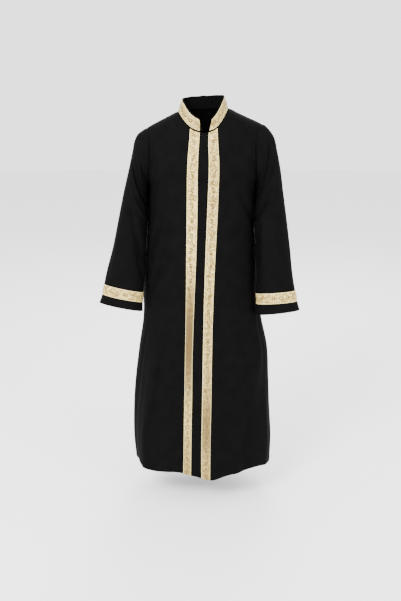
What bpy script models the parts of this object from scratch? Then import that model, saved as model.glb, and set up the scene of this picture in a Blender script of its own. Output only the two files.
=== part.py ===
"""Ankle-length robe of an imam, hanging as it does when worn, with gold brocade bands.

Metres, +Z up. x = 0 is the middle of the body and +X is the wearer's left. The front faces -Y.
z = 0 is the height of the side neck point, where a wearer's shoulders hold the robe.

Each cut piece of cloth is an open surface with a Solidify wall. The fronts and the back are parts
of one surface, body(angle, level), and each sleeve is a loft through rings. The collar rises from
the neckline of the fronts and the back. Bands, placket and tab are made from the points of the
piece they lie on.
"""

from collections import namedtuple

import bpy
import numpy as np

NAME = "imam_robe"

# Cloth
WALL = 0.0015
BAND_WALL = 0.0008
LAY_GAP = 0.0003  # between a piece and what lies on it
SEAM_GAP = 0.0004  # between the neckline and the collar
SLEEVE_GAP = 0.0007  # between the armhole and the sleeve
SIDE_TURN = 89.95  # degrees: the fronts and the back end here, which leaves the gap of the side seam
SHOULDER_LEVEL = 0.9993  # a hair short of 1, which leaves the gap of the shoulder seam

# Heights and neck
UNDERARM_Z = -0.240
NECK_HALF_WIDTH = 0.084
NECK_FRONT_DEPTH = 0.089
NECK_BACK_DEPTH = 0.070
NECK_POWER = 2.4  # above 2 the oval of the neck opening is squarer than an ellipse

# Collar and bands
COLLAR_HEIGHT = 0.044
BAND_WIDTH = 0.035
COLLAR_BAND_FROM = 0.004
COLLAR_NARROWING = 0.015  # each side leans in by this at the collar's top
COLLAR_LEAN_FRONT = 0.003
RIGHT_END_SPREAD = 0.002  # the collar's ends part by this at the top
LEFT_END_SPREAD = 0.020
END_REACH = 0.03  # how far from the middle the spread dies away
PLACKET_DROP = 0.30  # the placket starts this share of a cell below the neckline
BAND_DROP = 0.32  # and so do the two front bands
PLACKET_UNDER = 0.5  # its edges lie under the bands by this share of a cell
TAB_OUT = 0.011
TAB_UNDER = 0.006
TAB_SHARE = 0.72  # the tab's height as a share of the band's

# How the upper body rounds over to the shoulder seam
ROUND_ACROSS = 2.35
ROUND_FRONT = 2.3
ROUND_BACK = 2.8
ARMHOLE_SPREAD = 0.25  # how far the chest widens beyond the armhole, as a share of the armhole's x
ARMHOLE_RISE = 0.6

# Round lengths by which a fold's distance across its line is measured
BODY_RADIUS = 0.19
SLEEVE_GIRTH = 0.42

# A point where a column meets the neckline or a band's edge is found by halving a range
HALVINGS = 34
BAND_TURN = 60.0  # degrees: no band's edge is further round than this

# Cells of the surfaces
BAND_CELLS = 2
NECK_CELLS = 4
SIDE_CELLS = 11
UPPER_CELLS = 9
LOWER_CELLS = 20
SLEEVE_CELLS_ROUND = 28
SLEEVE_CELLS_ALONG = 19

BodyRing = namedtuple("BodyRing", "z right left front back power")
BODY_RINGS = [
    BodyRing(-0.240, 0.184, 0.180, 0.122, 0.118, 2.35),
    BodyRing(-0.300, 0.188, 0.177, 0.124, 0.115, 2.35),
    BodyRing(-0.400, 0.195, 0.180, 0.128, 0.110, 2.30),
    BodyRing(-0.500, 0.204, 0.187, 0.132, 0.109, 2.28),
    BodyRing(-0.600, 0.211, 0.193, 0.136, 0.113, 2.25),
    BodyRing(-0.720, 0.216, 0.211, 0.140, 0.120, 2.25),
    BodyRing(-0.830, 0.233, 0.235, 0.144, 0.126, 2.25),
    BodyRing(-0.950, 0.249, 0.243, 0.149, 0.131, 2.25),
    BodyRing(-1.050, 0.258, 0.249, 0.153, 0.135, 2.25),
    BodyRing(-1.180, 0.262, 0.257, 0.157, 0.139, 2.30),
    BodyRing(-1.310, 0.252, 0.255, 0.160, 0.142, 2.35),
]

# The armhole's distance from the middle, from the underarm (level 0) to the shoulder (level 1)
Armhole = namedtuple("Armhole", "level right left")
ARMHOLES = [
    Armhole(0.00, 0.184, 0.180),
    Armhole(0.25, 0.179, 0.175),
    Armhole(0.60, 0.180, 0.181),
    Armhole(1.00, 0.190, 0.198),
]

# Height of the shoulder seam against distance from the middle. Inside the neck it is only a guide.
Ridge = namedtuple("Ridge", "x right_front right_back left_front left_back")
RIDGES = [
    Ridge(0.000, -0.006, 0.030, -0.006, 0.030),
    Ridge(0.050, -0.004, 0.018, -0.005, 0.023),
    Ridge(0.084, -0.003, -0.003, 0.007, 0.007),
    Ridge(0.116, -0.018, -0.018, -0.007, -0.007),
    Ridge(0.154, -0.037, -0.037, -0.024, -0.024),
    Ridge(0.175, -0.048, -0.048, -0.033, -0.033),
    Ridge(0.198, -0.062, -0.062, -0.044, -0.044),
]

Hem = namedtuple("Hem", "angle z")
HEMS = [
    Hem(-180, -1.284),
    Hem(-105, -1.282),
    Hem(-90, -1.278),
    Hem(-75, -1.270),
    Hem(-60, -1.274),
    Hem(-45, -1.279),
    Hem(-14, -1.271),
    Hem(-2, -1.288),
    Hem(5, -1.299),
    Hem(12, -1.290),
    Hem(28, -1.280),
    Hem(42, -1.268),
    Hem(60, -1.272),
    Hem(78, -1.283),
    Hem(90, -1.286),
    Hem(180, -1.284),
]

# Edges of the two front bands against height. They drift to the wearer's right on the way down.
BandEdge = namedtuple("BandEdge", "z right_outer right_inner left_inner left_outer")
BAND_EDGES = [
    BandEdge(-0.055, -0.0425, -0.0108, 0.0210, 0.0462),
    BandEdge(-0.075, -0.0440, -0.0120, 0.0175, 0.0468),
    BandEdge(-0.095, -0.0455, -0.0135, 0.0165, 0.0475),
    BandEdge(-0.153, -0.0505, -0.0171, 0.0186, 0.0510),
    BandEdge(-0.280, -0.0535, -0.0187, 0.0150, 0.0488),
    BandEdge(-0.446, -0.0560, -0.0227, 0.0087, 0.0417),
    BandEdge(-0.625, -0.0583, -0.0300, 0.0032, 0.0345),
    BandEdge(-0.805, -0.0621, -0.0364, -0.0003, 0.0306),
    BandEdge(-0.985, -0.0660, -0.0391, -0.0030, 0.0289),
    BandEdge(-1.172, -0.0695, -0.0425, -0.0060, 0.0262),
    BandEdge(-1.300, -0.0724, -0.0443, -0.0060, 0.0256),
]

# Each ring is an oval from an inner to an outer point, as deep as half_depth either way of y_mid.
# Its front is lifted by rise, because the forearm comes forward.
SleeveRing = namedtuple("SleeveRing", "x_in z_in x_out z_out y_mid half_depth rise")
RIGHT_SLEEVE = [
    SleeveRing(0.186, -0.252, 0.206, -0.066, -0.003, 0.067, 0.000),
    SleeveRing(0.187, -0.262, 0.219, -0.076, -0.006, 0.068, 0.000),
    SleeveRing(0.188, -0.272, 0.230, -0.096, -0.010, 0.069, 0.000),
    SleeveRing(0.189, -0.288, 0.237, -0.128, -0.014, 0.069, 0.001),
    SleeveRing(0.190, -0.310, 0.252, -0.193, -0.022, 0.069, 0.002),
    SleeveRing(0.192, -0.345, 0.268, -0.259, -0.030, 0.067, 0.003),
    SleeveRing(0.194, -0.400, 0.289, -0.356, -0.042, 0.064, 0.005),
    SleeveRing(0.198, -0.480, 0.310, -0.453, -0.055, 0.061, 0.007),
    SleeveRing(0.202, -0.560, 0.333, -0.535, -0.067, 0.057, 0.009),
    SleeveRing(0.209, -0.608, 0.343, -0.578, -0.074, 0.055, 0.010),
    SleeveRing(0.210, -0.642, 0.350, -0.612, -0.078, 0.054, 0.010),
    SleeveRing(0.211, -0.675, 0.361, -0.643, -0.080, 0.053, 0.010),
]
LEFT_SLEEVE = [
    SleeveRing(0.183, -0.252, 0.211, -0.051, -0.003, 0.067, 0.000),
    SleeveRing(0.182, -0.262, 0.225, -0.066, -0.006, 0.068, 0.000),
    SleeveRing(0.181, -0.274, 0.238, -0.086, -0.010, 0.069, 0.000),
    SleeveRing(0.179, -0.290, 0.249, -0.128, -0.014, 0.069, 0.001),
    SleeveRing(0.178, -0.312, 0.262, -0.193, -0.022, 0.069, 0.002),
    SleeveRing(0.178, -0.347, 0.271, -0.259, -0.030, 0.067, 0.003),
    SleeveRing(0.179, -0.405, 0.285, -0.356, -0.044, 0.064, 0.005),
    SleeveRing(0.182, -0.480, 0.298, -0.453, -0.060, 0.060, 0.007),
    SleeveRing(0.184, -0.560, 0.309, -0.545, -0.075, 0.056, 0.009),
    SleeveRing(0.184, -0.610, 0.319, -0.599, -0.083, 0.054, 0.010),
    SleeveRing(0.185, -0.646, 0.327, -0.635, -0.088, 0.053, 0.010),
    SleeveRing(0.184, -0.685, 0.336, -0.667, -0.091, 0.052, 0.010),
]
SLEEVE_BAND_RINGS = 3  # the last rings: the cuff band's two edges and the sleeve's own edge

# A fold is a rounded ridge, or a trough where its height is negative, on a straight line.
# On the body it runs from angle_top, z_top to angle_low, z_low.
BodyFold = namedtuple("BodyFold", "angle_top z_top angle_low z_low width height")
BODY_FOLDS = [
    BodyFold(30, -0.24, 86, -0.42, 0.020, -0.004),
    BodyFold(-32, -0.26, -66, -0.50, 0.022, -0.004),
    BodyFold(-40, -0.44, -60, -0.62, 0.020, -0.004),
    BodyFold(-26, -0.56, -27, -1.45, 0.020, 0.004),
    BodyFold(-42, -0.72, -57, -1.45, 0.024, 0.009),
    BodyFold(-70, -0.80, -78, -1.45, 0.024, -0.006),
    BodyFold(8, -0.66, 23, -1.45, 0.022, -0.007),
    BodyFold(60, -0.74, 38, -1.12, 0.022, 0.007),
    BodyFold(46, -0.92, 27, -1.45, 0.022, -0.008),
    BodyFold(66, -0.95, 58, -1.45, 0.024, 0.006),
    BodyFold(158, -0.30, 150, -1.45, 0.024, -0.007),
    BodyFold(196, -0.34, 204, -1.45, 0.026, -0.008),
    BodyFold(176, -0.52, 178, -1.45, 0.024, 0.007),
    BodyFold(134, -0.66, 127, -1.45, 0.024, 0.008),
    BodyFold(228, -0.60, 236, -1.45, 0.024, 0.008),
    BodyFold(112, -0.82, 107, -1.45, 0.022, -0.006),
    BodyFold(251, -0.78, 257, -1.45, 0.022, -0.006),
    BodyFold(152, -0.09, 116, -0.24, 0.018, -0.004),
    BodyFold(211, -0.11, 243, -0.25, 0.018, -0.004),
    BodyFold(100, -0.20, 100, -0.62, 0.024, 0.008),
    BodyFold(260, -0.20, 260, -0.74, 0.024, 0.009),
]

# On a sleeve it runs from turn_top, reach_top to turn_low, reach_low. Turn 0 is the inner side,
# 0.25 the front and 0.5 the outer side; reach 0 is the armhole and 1 the cuff's edge.
SleeveFold = namedtuple("SleeveFold", "turn_top reach_top turn_low reach_low width height")
RIGHT_SLEEVE_FOLDS = [
    SleeveFold(0.42, 0.15, -0.04, 0.27, 0.020, -0.008),
    SleeveFold(0.36, 0.24, 0.02, 0.38, 0.020, 0.005),
    SleeveFold(0.34, 0.30, 0.02, 0.72, 0.021, -0.007),
    SleeveFold(0.19, 0.56, 0.00, 0.84, 0.020, -0.006),
    SleeveFold(0.38, 0.42, 0.33, 0.94, 0.022, 0.004),
    SleeveFold(0.60, 0.18, 0.98, 0.30, 0.021, -0.007),
    SleeveFold(0.62, 0.36, 0.96, 0.60, 0.021, -0.006),
    SleeveFold(0.72, 0.52, 0.92, 0.88, 0.021, 0.005),
]
LEFT_SLEEVE_FOLDS = [
    SleeveFold(0.41, 0.05, -0.03, 0.18, 0.020, -0.009),
    SleeveFold(0.37, 0.13, 0.08, 0.36, 0.020, -0.007),
    SleeveFold(0.30, 0.24, 0.05, 0.44, 0.020, 0.004),
    SleeveFold(0.17, 0.32, 0.14, 0.90, 0.021, 0.006),
    SleeveFold(0.06, 0.44, 0.04, 0.84, 0.018, -0.005),
    SleeveFold(0.60, 0.16, 0.98, 0.28, 0.021, -0.007),
    SleeveFold(0.64, 0.34, 0.95, 0.56, 0.021, -0.006),
    SleeveFold(0.74, 0.50, 0.90, 0.88, 0.021, 0.005),
]


def named(rows, name):
    """One named column of a table."""
    return np.array([getattr(row, name) for row in rows], float)


def glide(at, places, values):
    """A smooth curve through the values: cubic pieces that share the slope of each point's neighbours."""
    order = np.argsort(places)
    place = np.asarray(places, float)[order]
    value = np.asarray(values, float)[order]
    slope = np.gradient(value, place, axis=0)
    at = np.clip(at, place[0], place[-1])
    i = np.clip(np.searchsorted(place, at) - 1, 0, len(place) - 2)
    spare = (1,) * (value.ndim - 1)
    width = (place[i + 1] - place[i]).reshape(np.shape(at) + spare)
    t = np.reshape(at - place[i], np.shape(at) + spare) / width
    start = (2 * t**3 - 3 * t**2 + 1) * value[i] + (t**3 - 2 * t**2 + t) * width * slope[i]
    end = (3 * t**2 - 2 * t**3) * value[i + 1] + (t**3 - t**2) * width * slope[i + 1]
    return start + end


def ease(t):
    """0 below 0, 1 above 1, and a smooth step between them."""
    t = np.clip(t, 0.0, 1.0)
    return t * t * (3 - 2 * t)


def fold_height(across_from, across_to, along, width, height, offset_at):
    """One fold: a bell across its line, fading in over the first quarter and out over the last."""
    t = np.clip(along, 0.0, 1.0)
    line = across_from + (across_to - across_from) * t
    bell = np.exp(-((offset_at(line) / width) ** 2))
    return height * bell * ease(along * 4) * ease((1 - along) * 4)


def body_folds(angle, z):
    """How far the folds lift the body's cloth, from the angle in degrees and the height."""
    total = np.zeros(np.shape(z))
    for fold in BODY_FOLDS:

        def offset_at(line):
            return np.radians((angle - line + 180) % 360 - 180) * BODY_RADIUS

        along = (z - fold.z_top) / (fold.z_low - fold.z_top)
        total += fold_height(fold.angle_top, fold.angle_low, along, fold.width, fold.height, offset_at)
    return total


def body(angle, level):
    """A point of the surface that the fronts and the back share.

    angle goes round the body in degrees: 0 is the centre front, 90 the wearer's left side.
    level is -1 at the hem, 0 at the underarm and 1 on the shoulder seam. Below the underarm each
    level is an oval ring. Above it the surface rounds over to the shoulder seam, and the chest is
    wider than the armhole, which cuts it off.
    """
    angle, level = np.broadcast_arrays(np.asarray(angle, float), np.asarray(level, float))
    angle = (angle + 180) % 360 - 180
    on_right = angle < 0
    in_front = np.abs(angle) <= 90
    side = np.where(on_right, -1.0, 1.0)
    facing = np.where(in_front, -1.0, 1.0)
    turn = np.radians(np.where(in_front, np.abs(angle), 180 - np.abs(angle)))

    hem_z = glide(angle, named(HEMS, "angle"), named(HEMS, "z"))
    low_z = UNDERARM_Z + (UNDERARM_Z - hem_z) * np.minimum(level, 0)
    ring_z = named(BODY_RINGS, "z")
    half_width = np.where(
        on_right,
        glide(low_z, ring_z, named(BODY_RINGS, "right")),
        glide(low_z, ring_z, named(BODY_RINGS, "left")),
    )
    half_depth = np.where(
        in_front,
        glide(low_z, ring_z, named(BODY_RINGS, "front")),
        glide(low_z, ring_z, named(BODY_RINGS, "back")),
    )
    power = glide(low_z, ring_z, named(BODY_RINGS, "power"))
    low_x = half_width * np.sin(turn) ** (2 / power)
    low_y = half_depth * np.cos(turn) ** (2 / power)

    lift = np.radians(90 * np.clip(level, 0, 1))
    armhole_level = named(ARMHOLES, "level")
    armhole_x = np.where(
        on_right,
        glide(level, armhole_level, named(ARMHOLES, "right")),
        glide(level, armhole_level, named(ARMHOLES, "left")),
    )
    chest = armhole_x * (1 + ARMHOLE_SPREAD * np.sin(lift) ** ARMHOLE_RISE)
    high_x = armhole_x * np.sin(turn) ** (2 / ROUND_ACROSS)
    over = np.where(in_front, ROUND_FRONT, ROUND_BACK)
    share = np.clip(1 - (high_x / chest) ** ROUND_ACROSS, 0, 1)
    high_y = half_depth * share ** (1 / ROUND_ACROSS) * np.cos(lift) ** (2 / over)
    ridge_x = named(RIDGES, "x")
    ridge_front = np.where(
        on_right,
        glide(high_x, ridge_x, named(RIDGES, "right_front")),
        glide(high_x, ridge_x, named(RIDGES, "left_front")),
    )
    ridge_back = np.where(
        on_right,
        glide(high_x, ridge_x, named(RIDGES, "right_back")),
        glide(high_x, ridge_x, named(RIDGES, "left_back")),
    )
    ridge_z = np.where(in_front, ridge_front, ridge_back)
    high_z = UNDERARM_Z + (ridge_z - UNDERARM_Z) * np.sin(lift) ** (2 / over)

    is_low = level < 0
    z = np.where(is_low, low_z, high_z)
    fold = body_folds(angle, z)
    x = side * (np.where(is_low, low_x, high_x) + fold * np.sin(turn))
    y = facing * (np.where(is_low, low_y, high_y) + fold * np.cos(turn))
    return np.stack([x, y, z], axis=-1)


def halve(is_past, low, high):
    """The value between low and high where is_past turns true, by halving the range."""
    for _ in range(HALVINGS):
        middle = (low + high) / 2
        past = is_past(middle)
        low, high = np.where(past, low, middle), np.where(past, middle, high)
    return (low + high) / 2


def band_angle(edge, level):
    """The angle at which a front band's edge meets a level."""

    def is_past(angle):
        point = body(angle, level)
        return point[..., 0] > glide(point[..., 2], named(BAND_EDGES, "z"), named(BAND_EDGES, edge))

    level = np.asarray(level, float)
    return halve(is_past, np.full(level.shape, -BAND_TURN), np.full(level.shape, BAND_TURN))


def neck_turn(side, level):
    """The angle from the centre that keeps a column straight below the neck point on the upper body."""
    name = "right" if side < 0 else "left"
    armhole_x = glide(np.clip(level, 0, 1), named(ARMHOLES, "level"), named(ARMHOLES, name))
    return np.degrees(np.arcsin((NECK_HALF_WIDTH / armhole_x) ** (ROUND_ACROSS / 2)))


def front_angles(side, share, level):
    """Angle of a front's columns. share 0..1 is the band, 1..2 reaches the neck point, 2..3 the side."""
    name = "right" if side < 0 else "left"
    inner = band_angle(f"{name}_inner", level)
    outer = band_angle(f"{name}_outer", level)
    neck = side * neck_turn(side, level)
    knots = [inner, outer, neck, side * SIDE_TURN]
    angle = inner
    for i in range(3):
        t = np.clip(share - i, 0, 1)
        angle = angle + (knots[i + 1] - knots[i]) * t
    return angle


def back_angles(share, level):
    """Angle of the back's columns. share 0..1 is the left side, 1..3 the neck and 3..4 the right side."""
    neck_left = neck_turn(1, level)
    neck_right = neck_turn(-1, level)
    steps = [SIDE_TURN - neck_left, neck_left, neck_right, SIDE_TURN - neck_right]
    angle = 180 - SIDE_TURN
    for i, step in enumerate(steps):
        angle = angle + step * np.clip(share - i, 0, 1)
    return angle


def shares(*cells):
    """Column positions with the given number of cells in each unit step."""
    return np.concatenate([[0.0]] + [i + np.arange(1, n + 1) / n for i, n in enumerate(cells)])


def panel(angles, share):
    """Points of a panel, rows from the neckline and shoulder seam down to the hem.

    A column's top is where it meets the neck opening, which is an oval seen from above, and the
    columns beyond that oval go up to the shoulder seam.
    """

    def is_past(level):
        point = body(angles(share, level), level)
        depth = np.where(point[..., 1] < 0, NECK_FRONT_DEPTH, NECK_BACK_DEPTH)
        across = np.abs(point[..., 0] / NECK_HALF_WIDTH) ** NECK_POWER
        return across + np.abs(point[..., 1] / depth) ** NECK_POWER < 1

    top = halve(is_past, np.zeros(share.shape), np.ones(share.shape))
    top = np.minimum(top, SHOULDER_LEVEL)
    upper = top * np.linspace(1, 0, UPPER_CELLS + 1)[:, None]
    lower = -np.linspace(0, 1, LOWER_CELLS + 1)[1:, None] + 0 * top
    level = np.concatenate([upper, lower])
    return body(angles(share + 0 * level, level), level)


def sleeve_rings(side, table):
    """The sleeve's rings as points: the armhole first, then an oval for each row of the table."""
    turn = np.arange(SLEEVE_CELLS_ROUND) / SLEEVE_CELLS_ROUND
    outward = -np.cos(2 * np.pi * turn)
    forward = np.sin(2 * np.pi * turn)
    over = np.where(forward >= 0, ROUND_FRONT, ROUND_BACK)
    level = np.arcsin(((1 + outward) / 2) ** (over / 2)) / (np.pi / 2)
    angle = side * np.where(forward >= 0, SIDE_TURN, 180 - SIDE_TURN)
    armhole = body(angle, level) + np.array([side * SLEEVE_GAP, 0, 0])
    rings = [armhole]
    for ring in table:
        x = (ring.x_out + ring.x_in) / 2 + (ring.x_out - ring.x_in) / 2 * outward
        z = (ring.z_out + ring.z_in) / 2 + (ring.z_out - ring.z_in) / 2 * outward + ring.rise * forward
        y = ring.y_mid - ring.half_depth * forward
        rings.append(np.stack([side * x, y, z], axis=-1))
    return np.array(rings)


def sleeve(side, table, folds):
    """Points of a sleeve, rows from the armhole to the cuff's edge, with its last rows on the band."""
    rings = sleeve_rings(side, table)
    steps = np.linalg.norm(np.diff(rings, axis=0), axis=2).mean(axis=1)
    place = np.concatenate([[0], np.cumsum(steps)])
    above_band = np.linspace(0, place[-SLEEVE_BAND_RINGS], SLEEVE_CELLS_ALONG + 1)
    at = np.concatenate([above_band, place[-SLEEVE_BAND_RINGS + 1:]])
    points = glide(at, place, rings)
    middle = points.mean(axis=1, keepdims=True)
    turn = np.arange(SLEEVE_CELLS_ROUND)[None, :] / SLEEVE_CELLS_ROUND
    reach = (at / place[-1])[:, None]
    lift = np.zeros(points.shape[:2])
    for fold in folds:

        def offset_at(line):
            return ((turn - line + 0.5) % 1 - 0.5) * SLEEVE_GIRTH

        along = (reach - fold.reach_top) / (fold.reach_low - fold.reach_top) + 0 * turn
        lift += fold_height(fold.turn_top, fold.turn_low, along, fold.width, fold.height, offset_at)
    outward = points - middle
    outward /= np.linalg.norm(outward, axis=2, keepdims=True)
    return points + outward * lift[..., None]


def normals(points, inside, closed=False):
    """Unit normals of a grid of points, on the side away from the given inside."""
    if closed:
        across = np.roll(points, -1, axis=1) - np.roll(points, 1, axis=1)
    else:
        across = np.gradient(points, axis=1)
    along = np.gradient(points, axis=0)
    normal = np.cross(across, along)
    normal /= np.linalg.norm(normal, axis=2, keepdims=True)
    return normal if np.sum(normal * (points - inside)) > 0 else -normal


def make_wall(name, points, inside, wall, material, outward=False, closed=False):
    """An object from a grid of points: two triangles a cell, faces away from the inside, then a wall."""
    rows, columns = points.shape[:2]
    index = np.arange(rows * columns).reshape(rows, columns)
    if closed:
        index = np.concatenate([index, index[:, :1]], axis=1)
    a, b, c, d = index[:-1, :-1], index[:-1, 1:], index[1:, 1:], index[1:, :-1]
    triangles = np.concatenate([np.stack([a, c, d], -1), np.stack([a, b, c], -1)]).reshape(-1, 3)
    cross = np.cross(points[0, 1] - points[0, 0], points[1, 0] - points[0, 0])
    if np.dot(cross, normals(points, inside, closed)[0, 0]) < 0:
        triangles = triangles[:, ::-1]
    mesh = bpy.data.meshes.new(name)
    mesh.from_pydata(points.reshape(-1, 3).tolist(), [], triangles.tolist())
    mesh.materials.append(material)
    mesh.shade_smooth()
    thing = bpy.data.objects.new(name, mesh)
    robe.objects.link(thing)
    solidify = thing.modifiers.new("cloth wall", "SOLIDIFY")
    solidify.thickness = wall
    solidify.offset = 1 if outward else -1
    return thing


def make_material(name, colour, roughness, metallic=0.0):
    """A Principled material in one colour."""
    material = bpy.data.materials.new(name)
    material.use_nodes = True
    shader = material.node_tree.nodes["Principled BSDF"]
    shader.inputs["Base Color"].default_value = (*colour, 1)
    shader.inputs["Roughness"].default_value = roughness
    shader.inputs["Metallic"].default_value = metallic
    return material


def body_axis(points):
    """Points on the middle line of the body, at the heights of the given points."""
    return points * np.array([0, 0, 1])


def make_front(side, word):
    """One front, with the gold band down its front edge."""

    def angles(share, level):
        return front_angles(side, share, level)

    share = shares(BAND_CELLS, NECK_CELLS, SIDE_CELLS)
    points = panel(angles, share)
    inside = body_axis(points)
    make_wall(f"front_{word}", points, inside, WALL, black)
    band = points[:, : BAND_CELLS + 1]
    band = band + normals(points, inside)[:, : BAND_CELLS + 1] * LAY_GAP
    band[0] = band[0] + (band[1] - band[0]) * BAND_DROP
    make_wall(f"band_front_{word}", band, body_axis(band), BAND_WALL, gold, outward=True)
    return points


def make_back():
    """The back, in one piece from side seam to side seam."""
    points = panel(back_angles, shares(SIDE_CELLS, NECK_CELLS, NECK_CELLS, SIDE_CELLS))
    make_wall("back", points, body_axis(points), WALL, black)
    return points


def make_placket(front_right, front_left):
    """The strip behind the closure: it spans the fronts' edges and runs on under both bands."""
    right_edge = front_right[:, 0]
    left_edge = front_left[:, 0]
    right_under = right_edge + (front_right[:, 1] - right_edge) * PLACKET_UNDER
    left_under = left_edge + (front_left[:, 1] - left_edge) * PLACKET_UNDER
    middle = (right_edge + left_edge) / 2
    points = np.stack([right_under, right_edge, middle, left_edge, left_under], axis=1)
    points[0] = points[0] + (points[1] - points[0]) * PLACKET_DROP
    points = points - normals(points, body_axis(points)) * (WALL + LAY_GAP)
    make_wall("placket", points, body_axis(points), WALL, black)


def make_collar(neckline):
    """The stand collar, its gold band and the small tab at its right end.

    It rises from the neckline. Its sides lean in, its ends part a little and it is open in front.
    """
    base = neckline[None] + np.array([0, 0, SEAM_GAP])
    x = base[..., 0:1] / NECK_HALF_WIDTH
    toward_back = base[..., 1:2] / NECK_BACK_DEPTH
    in_front = np.clip(-base[..., 1:2] / NECK_FRONT_DEPTH, 0, 1)
    end = np.exp(-((base[..., 0:1] / END_REACH) ** 2)) * (base[..., 1:2] < 0)
    spread = np.where(base[..., 0:1] < 0, -RIGHT_END_SPREAD, LEFT_END_SPREAD)
    lean_x = -x * COLLAR_NARROWING + end * spread
    lean_y = in_front * COLLAR_LEAN_FRONT - np.clip(toward_back, 0, 1) * COLLAR_LEAN_FRONT * 2
    lean = np.concatenate([lean_x, lean_y, 0 * x + COLLAR_HEIGHT], axis=-1)
    band_low = COLLAR_BAND_FROM / COLLAR_HEIGHT
    band_high = (COLLAR_BAND_FROM + BAND_WIDTH) / COLLAR_HEIGHT
    share = np.array([0, band_low, (band_low + band_high) / 2, band_high, 1])
    points = base + lean * share[:, None, None]
    inside = points.mean(axis=(0, 1))
    away = normals(points, inside)
    make_wall("collar", points, inside, WALL, black)
    band = points[1:4] + away[1:4] * LAY_GAP
    make_wall("band_collar", band, inside, BAND_WALL, gold, outward=True)

    first = points[1:4, 0] - away[1:4, 0] * (WALL + LAY_GAP)
    toward_gap = points[1:4, 0] - points[1:4, 1]
    toward_gap /= np.linalg.norm(toward_gap, axis=1, keepdims=True)
    middle = first.mean(axis=0)
    first = middle + (first - middle) * TAB_SHARE
    tab = np.stack([first - toward_gap * TAB_UNDER, first, first + toward_gap * TAB_OUT], axis=1)
    make_wall("collar_tab", tab, inside, WALL, black)


def make_sleeve(side, word, table, folds):
    """One sleeve, with the gold band above its cuff."""
    points = sleeve(side, table, folds)
    inside = points.mean(axis=1, keepdims=True)
    make_wall(f"sleeve_{word}", points, inside, WALL, black, closed=True)
    band = (points + normals(points, inside, closed=True) * LAY_GAP)[-SLEEVE_BAND_RINGS:-1]
    middle = inside[-SLEEVE_BAND_RINGS:-1]
    make_wall(f"band_cuff_{word}", band, middle, BAND_WALL, gold, outward=True, closed=True)


for old in list(bpy.data.objects):
    bpy.data.objects.remove(old)
robe = bpy.data.collections.new(NAME)
bpy.context.scene.collection.children.link(robe)
black = make_material("black_twill", (0.012, 0.011, 0.013), 0.8)
gold = make_material("gold_brocade", (0.62, 0.46, 0.21), 0.45)

right = make_front(-1, "right")
left = make_front(1, "left")
back = make_back()
make_placket(right, left)
neck_columns = BAND_CELLS + NECK_CELLS
back_neck = back[0, SIDE_CELLS : SIDE_CELLS + 2 * NECK_CELLS + 1][::-1]
make_collar(np.concatenate([right[0, : neck_columns], back_neck, left[0, : neck_columns][::-1]]))
make_sleeve(-1, "right", RIGHT_SLEEVE, RIGHT_SLEEVE_FOLDS)
make_sleeve(1, "left", LEFT_SLEEVE, LEFT_SLEEVE_FOLDS)
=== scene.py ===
"""Looks of an imam's black robe with gold brocade bands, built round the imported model.

Metres, +Z up, the wearer's left at +X and the front at -Y, as in the CAD. Each piece of cloth is a
numpy grid on the same surface as its solid, with finer creases and a wall of its own. The ribbons
carry a leaf scroll in low relief, worked out flat in millimetres and mapped on to them.
"""

from collections import namedtuple

import bpy
import numpy as np
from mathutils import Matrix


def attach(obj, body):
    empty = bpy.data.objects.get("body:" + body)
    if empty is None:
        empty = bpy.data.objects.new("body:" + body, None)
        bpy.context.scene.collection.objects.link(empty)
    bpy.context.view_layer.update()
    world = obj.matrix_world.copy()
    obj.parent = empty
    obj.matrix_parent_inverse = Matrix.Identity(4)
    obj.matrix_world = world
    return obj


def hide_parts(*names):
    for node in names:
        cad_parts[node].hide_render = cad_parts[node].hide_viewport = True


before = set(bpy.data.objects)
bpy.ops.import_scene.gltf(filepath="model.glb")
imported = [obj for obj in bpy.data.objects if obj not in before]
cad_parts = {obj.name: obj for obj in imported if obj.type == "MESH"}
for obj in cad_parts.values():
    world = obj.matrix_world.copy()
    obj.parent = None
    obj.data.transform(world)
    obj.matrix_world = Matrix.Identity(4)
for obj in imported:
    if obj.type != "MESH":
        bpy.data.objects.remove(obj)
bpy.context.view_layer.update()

# Cloth
WALL = 0.0015
RIBBON_WALL = 0.0008
LAY_GAP = 0.0003  # between a piece and what lies on it
SEAM_LAP = 0.0012  # the collar starts this far below the neckline
SLEEVE_GAP = 0.0001  # between the armhole and the sleeve
SIDE_TURN = 89.99  # degrees: the fronts and the back end here, at the side seam
SHOULDER_LEVEL = 0.9999  # a hair short of the shoulder seam
SHOULDER_FROM = 0.99  # a column that starts above this level starts on that seam

# Heights and neck
UNDERARM_Z = -0.240
NECK_HALF_WIDTH = 0.084
NECK_FRONT_DEPTH = 0.089
NECK_BACK_DEPTH = 0.070
NECK_POWER = 2.4  # above 2 the oval of the neck opening is squarer than an ellipse

# Collar and bands
COLLAR_HEIGHT = 0.044
BAND_WIDTH = 0.035
COLLAR_BAND_FROM = 0.004
COLLAR_NARROWING = 0.015  # each side leans in by this at the collar's top
COLLAR_LEAN_FRONT = 0.003  # its front and its back lean in by these
COLLAR_LEAN_BACK = 0.006
RIGHT_END_SPREAD = 0.002  # the collar's ends part by this at the top
LEFT_END_SPREAD = 0.020
END_REACH = 0.03  # how far from the middle the spread dies away
CORNER = 0.010  # radius of the collar's top corner at its right end
PLACKET_DROP_ROWS = 2  # rows by which the placket starts below the neckline
BAND_DROP_ROWS = 2  # and the two front ribbons
PLACKET_UNDER = 0.25  # its edges lie under the bands by this share of their width
TAB_OUT = 0.011
TAB_UNDER = 0.006
TAB_SHARE = 0.72  # the tab's height as a share of the band's

# How the upper body rounds over to the shoulder seam
ROUND_ACROSS = 2.35
ROUND_FRONT = 2.3
ROUND_BACK = 2.8
ARMHOLE_SPREAD = 0.25
ARMHOLE_RISE = 0.6

# Round lengths by which a fold's distance across its line is measured
BODY_RADIUS = 0.19
SLEEVE_GIRTH = 0.42

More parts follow.
